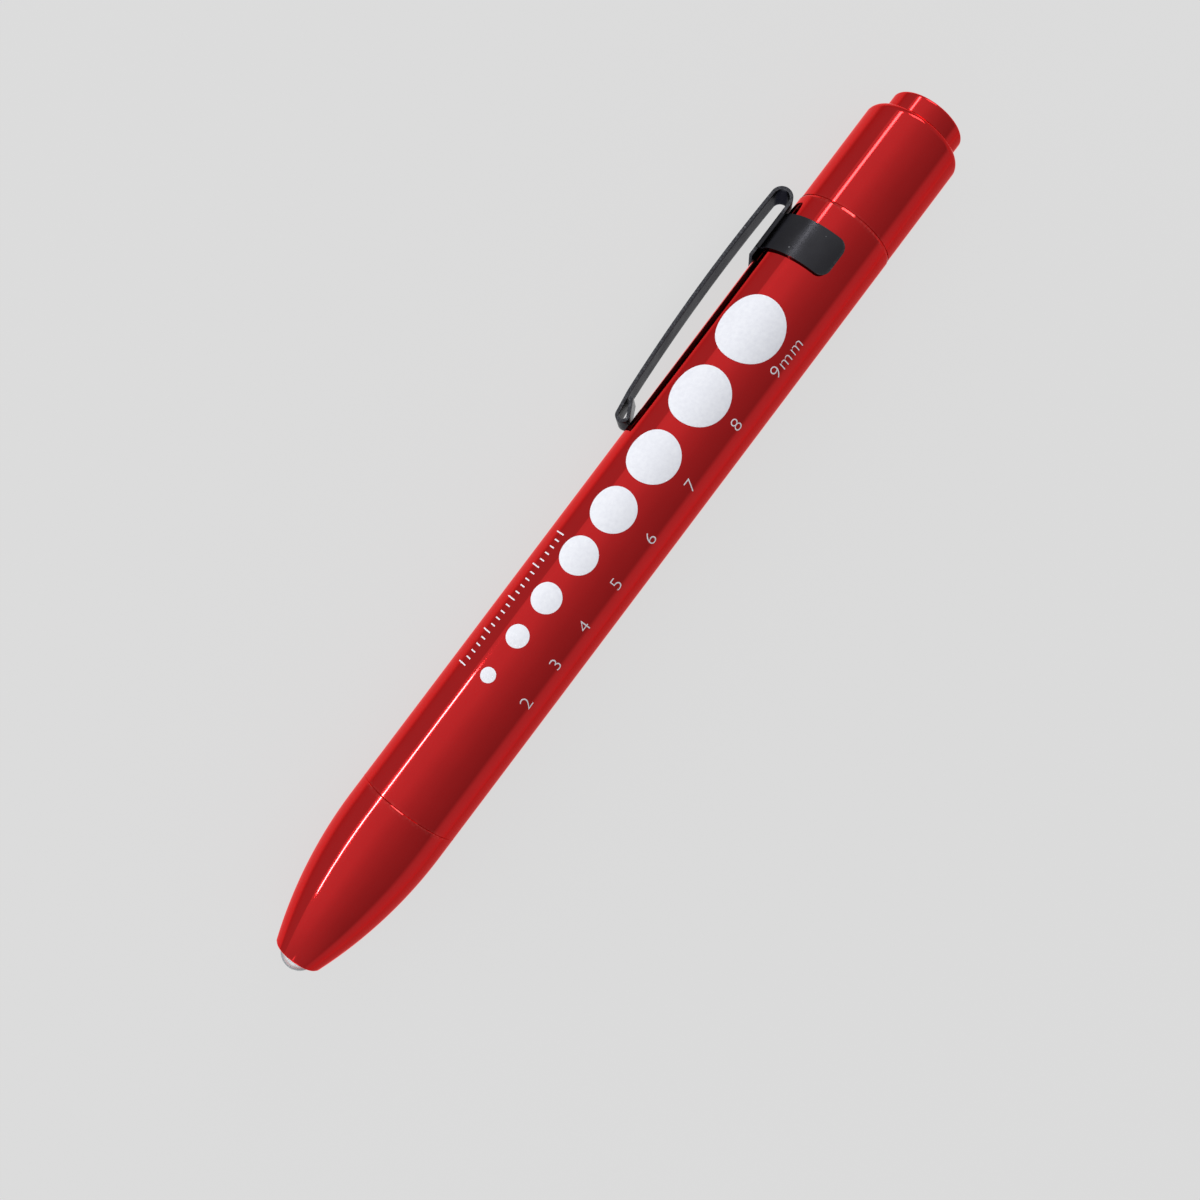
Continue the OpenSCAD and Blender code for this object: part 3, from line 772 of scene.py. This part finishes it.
def print_on_barrel(name, mesh, turn):
    """Wraps a flat, closed drawing on the barrel at an angle from straight up."""
    piece = run_tree(name, wrap_tree, {"Radius": barrel_r + INK_LIFT, "Turn": turn}, mesh)
    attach(piece, "barrel")
    print(f"{name}: {len(piece.data.polygons)} faces")


print(f"print {INK_T / MM:.2f} mm thick, wrapped at a radius of {(barrel_r + INK_LIFT) / MM:.2f} mm")


# %% Numerals
FIRST_DOT = 2
DOT_GAP = 0.5 * MM
NUMERAL_HEIGHT = 1.85 * MM
NUMERAL_TURN = math.radians(-35.2)
# Strokes a little thinner and letters a little further apart than the type draws them
NUMERAL_SLIM = -0.02
LETTER_SPACE = 1.12
# Height of a numeral as a share of the type's size
CAP_SHARE = 0.7
SLICE = 0.15 * MM
INK_MERGE_GAP = 0.0001 * MM


def dot_places():
    """The middles of the dots along the pen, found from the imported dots."""
    places = []
    for x in sorted(v.co.x for v in frame["nodes"]["gauge_dots"].data.vertices):
        if not places or x > places[-1][1] + DOT_GAP:
            places.append([x, x])
        places[-1][1] = x
    return [(low + high) / 2 for low, high in places]


def flat_text(text, middle_x):
    """A flat closed mesh of a string, centred on a place along the pen, sliced so it can bend."""
    curve = bpy.data.curves.new("print_" + text, "FONT")
    curve.body = text
    curve.align_x = "CENTER"
    curve.align_y = "CENTER"
    curve.size = NUMERAL_HEIGHT / CAP_SHARE
    curve.offset = NUMERAL_SLIM * curve.size
    curve.space_character = LETTER_SPACE
    curve.extrude = INK_T / 2
    source = bpy.data.objects.new(curve.name, curve)
    bpy.context.scene.collection.objects.link(source)
    graph = bpy.context.evaluated_depsgraph_get()
    mesh = bpy.data.meshes.new_from_object(source.evaluated_get(graph))
    bpy.data.objects.remove(source)
    mesh.transform(Matrix.Translation((middle_x, 0, INK_T / 2)))
    work = bmesh.new()
    work.from_mesh(mesh)
    bmesh.ops.remove_doubles(work, verts=work.verts, dist=INK_MERGE_GAP)
    steps = int(NUMERAL_HEIGHT / SLICE) + 2
    for i in range(-steps // 2, steps // 2 + 1):
        bmesh.ops.bisect_plane(
            work, geom=work.verts[:] + work.edges[:] + work.faces[:],
            plane_co=(0, i * SLICE, 0), plane_no=(0, 1, 0),
        )
    work.to_mesh(mesh)
    work.free()
    return mesh


places = dot_places()
for i, x in enumerate(places):
    digit = str(FIRST_DOT + i)
    drawing = flat_text(digit + "mm" if x == places[-1] else digit, x)
    print_on_barrel("numeral_" + digit, drawing, pen_turn(NUMERAL_TURN))

# %% Millimetre scale
SCALE_START = 18.6 * MM
SCALE_TICKS = 21
TICK_SPACING = 1.0 * MM
TICK_WIDTH = 0.17 * MM
TICK_HEIGHT = 1.6 * MM
TICK_CUTS = 12
# Height of a short tick as a share of a long one's. Every fifth tick is long
SHORT_TICK = 0.55
LONG_EVERY = 5
SCALE_TURN = math.radians(44)

tree, sizes = new_geometry_tree(
    "Row of ticks", ("Start", "Spacing", "Count", "Width", "Height", "Thickness")
)
step = add_node(tree, "ShaderNodeCombineXYZ", {"X": sizes["Spacing"]})
first = add_node(tree, "ShaderNodeCombineXYZ", {"X": sizes["Start"]})
row = add_node(
    tree, "GeometryNodeMeshLine",
    {"Count": sizes["Count"], "Start Location": first.outputs[0], "Offset": step.outputs[0]},
)
tick_size = add_node(
    tree, "ShaderNodeCombineXYZ", {"X": sizes["Width"], "Y": sizes["Height"], "Z": sizes["Thickness"]}
)
tick = add_node(tree, "GeometryNodeMeshCube", {"Size": tick_size.outputs[0], "Vertices Y": TICK_CUTS})
half_up = add_node(
    tree, "ShaderNodeVectorMath", {0: tick_size.outputs[0], 1: (0, 0.5, 0.5)}, operation="MULTIPLY"
)
stood = add_node(
    tree, "GeometryNodeTransform", {"Geometry": tick.outputs[0], "Translation": half_up.outputs[0]}
)
index = add_node(tree, "GeometryNodeInputIndex").outputs[0]
beat = add_node(tree, "ShaderNodeMath", {0: index, 1: LONG_EVERY}, operation="MODULO")
short = add_node(tree, "ShaderNodeMath", {0: beat.outputs[0], 1: 0.5}, operation="GREATER_THAN")
reach = add_node(
    tree, "ShaderNodeMapRange", {"Value": short.outputs[0], "To Min": 1.0, "To Max": SHORT_TICK}
)
tall = add_node(tree, "ShaderNodeCombineXYZ", {"X": 1.0, "Y": reach.outputs["Result"], "Z": 1.0})
ticks = add_node(
    tree, "GeometryNodeInstanceOnPoints",
    {"Points": row.outputs[0], "Instance": stood.outputs[0], "Scale": tall.outputs[0]},
)
end_tree(tree, ticks.outputs[0], white_ink)
drawing = run_tree("flat_ticks", tree, {
    "Start": SCALE_START, "Spacing": TICK_SPACING, "Count": SCALE_TICKS,
    "Width": TICK_WIDTH, "Height": TICK_HEIGHT, "Thickness": INK_T,
})
flat_ticks = drawing.data
bpy.data.objects.remove(drawing)
print_on_barrel("millimetre_scale", flat_ticks, pen_turn(SCALE_TURN))

# %% [markdown]
# ## Blackened spring steel
# The clip is stamped from thin spring steel, folded and rolled, then blackened. The oxide is a dark,
# faintly blue semi-gloss skin with a fine grain and a few specks of dust. The strip's cut edges are
# painted a lighter grey: partly steel rubbed bare on pockets, partly a painted highlight along their
# rims.

# %% Blackened spring steel
# Patterns in millimetres. The real grain is finer, and this one is as coarse as it needs to be to
# show
GRAIN_SIZE = 0.25
CLOUD_SIZE = 3
SPECK_SPACING = 2

black_steel, tree, shader, coords = new_material("Spring steel, stamped and blackened")
grain = add_node(
    tree, "ShaderNodeTexNoise", {"Vector": coords, "Scale": per_mm(GRAIN_SIZE), "Detail": 4.0}
)
cloud = add_node(
    tree, "ShaderNodeTexNoise", {"Vector": coords, "Scale": per_mm(CLOUD_SIZE), "Detail": 3.0}
)
# The cut edges get a lighter grey: partly bare steel, partly a painted highlight along the rims
edge = add_node(tree, "ShaderNodeAttribute", attribute_name="cut_edge").outputs["Fac"]
rub = add_node(
    tree, "ShaderNodeMapRange",
    {"Value": grain.outputs["Fac"], "From Min": 0.45, "From Max": 0.7, "To Min": 0.1, "To Max": 0.6},
)
bare_and_sheen = add_node(tree, "ShaderNodeMath", {0: edge, 1: rub.outputs["Result"]}, operation="MULTIPLY")
skin = add_node(
    tree, "ShaderNodeMix",
    {"Factor": cloud.outputs["Fac"], "A": linear("343438"), "B": linear("404044")}, data_type="RGBA",
)
skin_with_bare_and_sheen_edges = add_node(
    tree, "ShaderNodeMix",
    {"Factor": bare_and_sheen.outputs[0], "A": skin.outputs[2], "B": linear("76787E")}, data_type="RGBA",
)
specks = add_node(tree, "ShaderNodeTexVoronoi", {"Vector": coords, "Scale": per_mm(SPECK_SPACING)})
dusty = add_node(
    tree, "ShaderNodeMapRange",
    {"Value": specks.outputs["Distance"], "From Min": 0.03, "From Max": 0.05,
     "To Min": 0.8, "To Max": 0.0},
)
colour = add_node(
    tree, "ShaderNodeMix",
    {"Factor": dusty.outputs["Result"], "A": skin_with_bare_and_sheen_edges.outputs[2], "B": linear("B4B6BA")},
    data_type="RGBA",
)
gloss = add_node(
    tree, "ShaderNodeMapRange",
    {"Value": cloud.outputs["Fac"], "From Min": 0.3, "From Max": 0.7, "To Min": 0.20, "To Max": 0.30},
)
bump = add_node(
    tree, "ShaderNodeBump", {"Strength": 0.12, "Distance": 0.02 * MM, "Height": grain.outputs["Fac"]}
)
tree.links.new(colour.outputs[2], shader.inputs["Base Color"])
tree.links.new(gloss.outputs["Result"], shader.inputs["Roughness"])
tree.links.new(bump.outputs["Normal"], shader.inputs["Normal"])
shader.inputs["Metallic"].default_value = 1.0
# A blackened skin stays dark even where the eye looks along it
shader.inputs["Specular Tint"].default_value = linear("A0A0A1")
print("clip finish:", black_steel.name)

# %% [markdown]
# ## The spring clip
# One strip of steel: a band that grips the barrel, a short tongue, a fold, a slightly bowed arm and an
# end rolled back on itself. It is drawn as a grid on the face that lies inside the fold, given its
# thickness on the other face, and its cut edges are rounded. On the real clip the arm flexes on its
# fold.

# %% The clip's side view
STRIP_T = 0.45 * MM
STRIP_W = 5.0 * MM
BAND_FIT = 0.05 * MM
STRIP_LIFT = 0.05 * MM
FOLD_IN_R = 1.05 * MM
ARM_BOW_R = 250 * MM
FOOT_R = 0.95 * MM
FOOT_GAP = 0.1 * MM
FOOT_LEN = 3.9 * MM
FOOT_RISE = 0.45 * MM
# Share of the way back from the rolled foot to the arm at which the strip ends
FOOT_RETURN = 0.8
STRIP_LEAD = 1.25 * MM
BAND_LEN = 5.3 * MM
TONGUE_STEPS = 4
FOLD_STEPS = 24
ARM_STEPS = 60
FOOT_STEPS = 28

band_start = band_lo.x + STRIP_LEAD
band_end = band_start + BAND_LEN
band_out = barrel_r + BAND_FIT + STRIP_T
strip_out = band_out + STRIP_LIFT
fold_out_r = FOLD_IN_R + STRIP_T
fold_x = band_hi.x - fold_out_r
fold_mid = Vector((fold_x, strip_out + FOLD_IN_R))
arm_root = Vector((fold_x, fold_mid.y + fold_out_r))
foot_mid = Vector((arm_lo.x + FOOT_R, barrel_r + FOOT_GAP + FOOT_R))
arm_tip = Vector((arm_lo.x + FOOT_LEN, foot_mid.y + FOOT_R + FOOT_RISE))
span = arm_root - arm_tip
arm_mid = (arm_root + arm_tip) / 2 - Vector((-span.y, span.x)).normalized() * math.sqrt(
    ARM_BOW_R ** 2 - span.length_squared / 4
)
foot_in_r = FOOT_R - STRIP_T


def touch_angle(point, side):
    """Angle from outwards at which a line from a point touches the rolled foot."""
    to = point - foot_mid
    return math.atan2(to.x, to.y) + side * math.acos(FOOT_R / to.length)


def on_foot(angle):
    """A point inside the rolled foot at an angle from outwards."""
    return foot_mid + foot_in_r * Vector((math.sin(angle), math.cos(angle)))


def clip_path():
    """The side view's inner line as places along the pen and radii, from the band's edge on."""
    tongue = fold_x - band_end
    path = [Vector((band_end + tongue * i / TONGUE_STEPS, strip_out)) for i in range(1, TONGUE_STEPS)]
    path += [Vector(p) for p in arc(*fold_mid, FOLD_IN_R, -90, 90, FOLD_STEPS)]
    root, tip = (
        math.degrees(math.atan2(p.y - arm_mid.y, p.x - arm_mid.x)) for p in (arm_root, arm_tip)
    )
    path += [Vector(p) for p in arc(*arm_mid, ARM_BOW_R - STRIP_T, root, tip, ARM_STEPS)[1:]]
    arm_in = path[-1].copy()
    top = touch_angle(arm_tip, -1)
    low = touch_angle(arm_in, 1) - 2 * math.pi
    path += [on_foot(top + (low - top) * i / FOOT_STEPS) for i in range(FOOT_STEPS + 1)]
    path.append(path[-1].lerp(arm_in, FOOT_RETURN))
    return path


side_view = clip_path()
strip_len = sum((b - a).length for a, b in zip(side_view, side_view[1:]))
print(f"clip strip {strip_len / MM:.1f} mm from its band")

# %% The clip's rows of points
BAND_HALF = math.radians(111)
BAND_CORNER = 1.4 * MM
CREASE_REACH = math.radians(6)
CREASE_CUTS = 8
HALF_STRIP_CUTS = 4
WING_CUTS = 36
LEAD_ROWS = 4
BAND_ROWS = 28

flat_half = math.atan2(STRIP_W / 2, strip_out)
crease_r = math.hypot(STRIP_W / 2, strip_out)


def on_clip(x, r, across):
    """A point in the clip's own frame: along the pen, out from its axis and across the strip."""
    out = Vector((0, math.sin(clip_turn), math.cos(clip_turn)))
    sideways = Vector((0, math.cos(clip_turn), -math.sin(clip_turn)))
    return Vector((x, 0, 0)) + r * out + across * sideways


def on_wing(x, side, cut, depth):
    """A point on one wing of the band, with rounded corners, depth below its outer face."""
    from_edge = min(x - band_start, band_end - x)
    corner = max(BAND_CORNER - from_edge, 0)
    cut_back = BAND_CORNER - math.sqrt(BAND_CORNER ** 2 - corner ** 2)
    end = BAND_HALF - cut_back / band_out
    t = min(cut / CREASE_CUTS, 1)
    beyond = max(cut - CREASE_CUTS, 0) / (WING_CUTS - CREASE_CUTS)
    creased = flat_half + CREASE_REACH
    angle = flat_half + t * CREASE_REACH + beyond * (end - creased)
    r = crease_r + (band_out - crease_r) * t * t * (3 - 2 * t) - depth
    return round_axis(x, math.degrees(clip_turn + side * angle), r)


def clip_rows():
    """Rows of point pairs, outer and inner face, with None where the strip has no wing."""
    cuts = HALF_STRIP_CUTS
    across = [STRIP_W * j / (2 * cuts) for j in range(-cuts, cuts + 1)]
    none = [None] * WING_CUTS

    def flat_row(x):
        return [(on_clip(x, strip_out, w), on_clip(x, strip_out - STRIP_T, w)) for w in across]

    rows = [none + flat_row(band_lo.x + STRIP_LEAD * i / LEAD_ROWS) + none for i in range(LEAD_ROWS)]
    for i in range(BAND_ROWS + 1):
        share = (1 - math.cos(math.pi * i / BAND_ROWS)) / 2
        x = band_start + BAND_LEN * share
        wings = {
            side: [
                tuple(on_wing(x, side, k, depth) for depth in (0, STRIP_T))
                for k in range(1, WING_CUTS + 1)
            ]
            for side in (-1, 1)
        }
        rows.append(wings[-1][::-1] + flat_row(x) + wings[1])
    for i, here in enumerate(side_view):
        before = side_view[i - 1] if i else here - Vector((MM, 0))
        after = side_view[min(i + 1, len(side_view) - 1)]
        way = (after - here).normalized() + (here - before).normalized()
        way.normalize()
        outer = here + STRIP_T * Vector((way.y, -way.x))
        rows.append(none + [(on_clip(*here, w), on_clip(*outer, w)) for w in across] + none)
    return rows


strip_rows = clip_rows()
print(f"clip strip: {len(strip_rows)} rows of {len(strip_rows[0])} places")


# %% A closed strip from rows of points
def thick_grid(name, rows):
    """A closed mesh from rows of point pairs, with walls where the grid ends."""
    points, index, rim = [], {}, {}
    for i, row in enumerate(rows):
        for j, pair in enumerate(row):
            if pair:
                index[i, j] = len(points)
                points += pair
    faces = []
    for i, j in index:
        corners = [(i, j), (i, j + 1), (i + 1, j + 1), (i + 1, j)]
        if all(c in index for c in corners):
            here = [index[c] for c in corners]
            faces += [tuple(here), tuple(k + 1 for k in reversed(here))]
            for a, b in zip(here, here[1:] + here[:1]):
                if (b, a) in rim:
                    del rim[b, a]
                else:
                    rim[a, b] = True
    faces += [(b, a, a + 1, b + 1) for a, b in rim]
    mesh = bpy.data.meshes.new(name)
    mesh.from_pydata(points, [], faces)
    edge = mesh.attributes.new("cut_edge", "FLOAT", "POINT")
    for a, _ in rim:
        edge.data[a].value = edge.data[a + 1].value = 1.0
    return mesh


# %% The clip's mesh
EDGE_ROUND = 0.11 * MM
# Only edges that turn by more than this are rounded
ROUND_FROM = math.radians(55)
CLIP_SHARP = math.radians(28)

clip_mesh = thick_grid("spring_clip", strip_rows)
smooth(clip_mesh)
clip = link_mesh("spring_clip", clip_mesh, black_steel)
rounding = clip.modifiers.new("Rounded edges", "BEVEL")
rounding.width = EDGE_ROUND
rounding.segments = 3
rounding.limit_method = "ANGLE"
rounding.angle_limit = ROUND_FROM
final_mesh(clip)
clip.data.shade_smooth()
clip.data.set_sharp_from_angle(angle=CLIP_SHARP)
print(f"spring clip: {len(clip.data.polygons)} faces")

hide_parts("clip_band", "clip_arm")
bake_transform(clip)
print(f"the clip's fold is at X = {fold_x / MM:.2f} mm")

# %% [markdown]
# ## The lamp
# A clear round-nosed diode of 5 mm. Its body is cast epoxy, a little hazy, and its colour is painted
# darker towards blue-grey where the eye looks along its edge, as painted shade for the dark room seen
# through it. Its dome is a lens over a small bright cup with a dab of yellow phosphor in it. The leads
# and the cup are imported pieces, and the dome is turned smooth, because light bends through every
# facet.

# %% Epoxy and phosphor
clear_epoxy, tree, shader, coords = new_material("Epoxy, cast clear")
flow = add_node(tree, "ShaderNodeTexNoise", {"Vector": coords, "Scale": per_mm(1.5), "Detail": 2.0})
haze = add_node(
    tree, "ShaderNodeMapRange", {"Value": flow.outputs["Fac"], "To Min": 0.06, "To Max": 0.14}
)
# Painted shade: the epoxy's colour darkens towards blue-grey where its surface turns away from the eye
slant = add_node(tree, "ShaderNodeLayerWeight", {"Blend": 0.5}).outputs["Facing"]
edge = add_node(tree, "ShaderNodeMapRange", {"Value": slant, "From Min": 0.45, "From Max": 0.75})
depth = add_node(
    tree, "ShaderNodeMix",
    {"Factor": edge.outputs["Result"], "A": linear("EAF1F4"), "B": linear("6E7E8A")}, data_type="RGBA",
)
tree.links.new(depth.outputs[2], shader.inputs["Base Color"])
tree.links.new(haze.outputs["Result"], shader.inputs["Roughness"])
shader.inputs["Transmission Weight"].default_value = 0.55
shader.inputs["IOR"].default_value = 1.54

phosphor, tree, shader, coords = new_material("Phosphor in silicone, dabbed")
specks = add_node(tree, "ShaderNodeTexNoise", {"Vector": coords, "Scale": per_mm(0.08), "Detail": 3.0})
dab = add_node(
    tree, "ShaderNodeMix",
    {"Factor": specks.outputs["Fac"], "A": linear("E0C24A"), "B": linear("F0DC7E")}, data_type="RGBA",
)
tree.links.new(dab.outputs[2], shader.inputs["Base Color"])
shader.inputs["Roughness"].default_value = 0.5
print("lamp finishes:", clear_epoxy.name, "and", phosphor.name)

# %% Lamp dome and chip
LAMP_R = 2.5 * MM
LAMP_FLANGE_T = 1.0 * MM
LEAD_IN = 4.0 * MM
CUP_DEPTH = 0.8 * MM
DAB_FLOOR_R = 0.45 * MM
DAB_MOUTH_R = 0.80 * MM
DAB_CROWN = 0.2 * MM
# Share of the cup's depth that the dab fills, and where its shoulder is, as shares of its crown
# and of its mouth
CUP_FILL = 0.72
SHOULDER_RISE = 0.6
SHOULDER_OUT = 0.66
LAMP_NOSE_STEPS = 28

lamp_base = lamp_hi.x - LAMP_FLANGE_T
dome_outline = (
    [(lamp_lo.x, 0.0)]
    + arc(lamp_lo.x + LAMP_R, 0.0, LAMP_R, 180, 90, LAMP_NOSE_STEPS)[1:]
    + [(lamp_base, LAMP_R), (lamp_base, lamp_hi.z), (lamp_hi.x, lamp_hi.z), (lamp_hi.x, 0.0)]
)
dome = turn_on_lathe("lamp_dome", dome_outline, clear_epoxy)
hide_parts("lamp")
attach(dome, "lamp_unit")

cup_mouth = lamp_hi.x - LEAD_IN - CUP_DEPTH
cup_floor = cup_mouth + CUP_FILL * CUP_DEPTH
dab_outline = [
    (cup_floor, 0.0), (cup_floor, DAB_FLOOR_R), (cup_mouth, DAB_MOUTH_R),
    (cup_mouth - SHOULDER_RISE * DAB_CROWN, SHOULDER_OUT * DAB_MOUTH_R),
    (cup_mouth - DAB_CROWN, 0.0),
]
chip = turn_on_lathe("lamp_phosphor", dab_outline, phosphor)
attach(chip, "lamp_unit")

# %% [markdown]
# ## What is inside
# Leads, holder, contacts, cells and springs only show when the pen is taken apart, but each still
# gets the finish of the real thing: tinned wire, moulded nylon, turned brass, a sleeved steel can
# and bright spring wire.

# %% Inner finishes
ROUGHNESS_SPREAD = 0.08
# Dark and pale tone, metallic, roughness, grain in millimetres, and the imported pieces
INNER = {
    "Copper lead, tinned": ("C4C6C8", "D2D4D6", 1.0, 0.32, 0.4, ("anode_lead", "cathode_lead")),
    "Nylon, moulded natural": ("DDD6C2", "E8E2D0", 0.0, 0.45, 0.6, ("lamp_holder", "switch_bush")),
    "Brass, turned": (
        "C9A24E", "D8B563", 1.0, 0.24, 0.3, ("lamp_contact", "switch_ring", "contact_disc", "plunger"),
    ),
    "Steel can, film sleeved": ("3E4247", "4A4F55", 0.4, 0.36, 4.0, ("front_cell", "rear_cell")),
    "Spring wire, drawn bright": ("B4B7BB", "C6C9CC", 1.0, 0.22, 0.5, ("battery_spring",)),
}

for name, (dark, pale, metallic, roughness, grain_mm, nodes) in INNER.items():
    material, tree, shader, coords = new_material(name)
    grain = add_node(
        tree, "ShaderNodeTexNoise", {"Vector": coords, "Scale": per_mm(grain_mm), "Detail": 3.0}
    )
    colour = add_node(
        tree, "ShaderNodeMix",
        {"Factor": grain.outputs["Fac"], "A": linear(dark), "B": linear(pale)}, data_type="RGBA",
    )
    rough = add_node(
        tree, "ShaderNodeMapRange",
        {"Value": grain.outputs["Fac"], "To Min": roughness - ROUGHNESS_SPREAD,
         "To Max": roughness + ROUGHNESS_SPREAD},
    )
    bump = add_node(
        tree, "ShaderNodeBump", {"Strength": 0.1, "Distance": 0.02 * MM, "Height": grain.outputs["Fac"]}
    )
    tree.links.new(colour.outputs[2], shader.inputs["Base Color"])
    tree.links.new(rough.outputs["Result"], shader.inputs["Roughness"])
    tree.links.new(bump.outputs["Normal"], shader.inputs["Normal"])
    shader.inputs["Metallic"].default_value = metallic
    for node in nodes:
        paint(node, material)
    print(f"{name}: {', '.join(nodes)}")

# %% [markdown]
# ## The button's spring
# The button presses a coil spring against its bush, and the spring gets shorter. A merged copy of the
# imported spring stands in its place, and the copy rides on the button. A imported piece can't do
# that, so a merged copy of it stands in its place.

# %% The button's spring
coil = frame["nodes"]["return_spring"].data.copy()
smooth(coil)
button_spring = link_mesh("button_spring", coil, bpy.data.materials["Spring wire, drawn bright"])
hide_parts("return_spring")
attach(button_spring, "button")
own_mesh(button_spring)

# %% [markdown]
# ## The picture's colours
# Colours go to the picture as they are, without a film curve.

# %% The picture's colours
bpy.context.scene.view_settings.view_transform = "Standard"
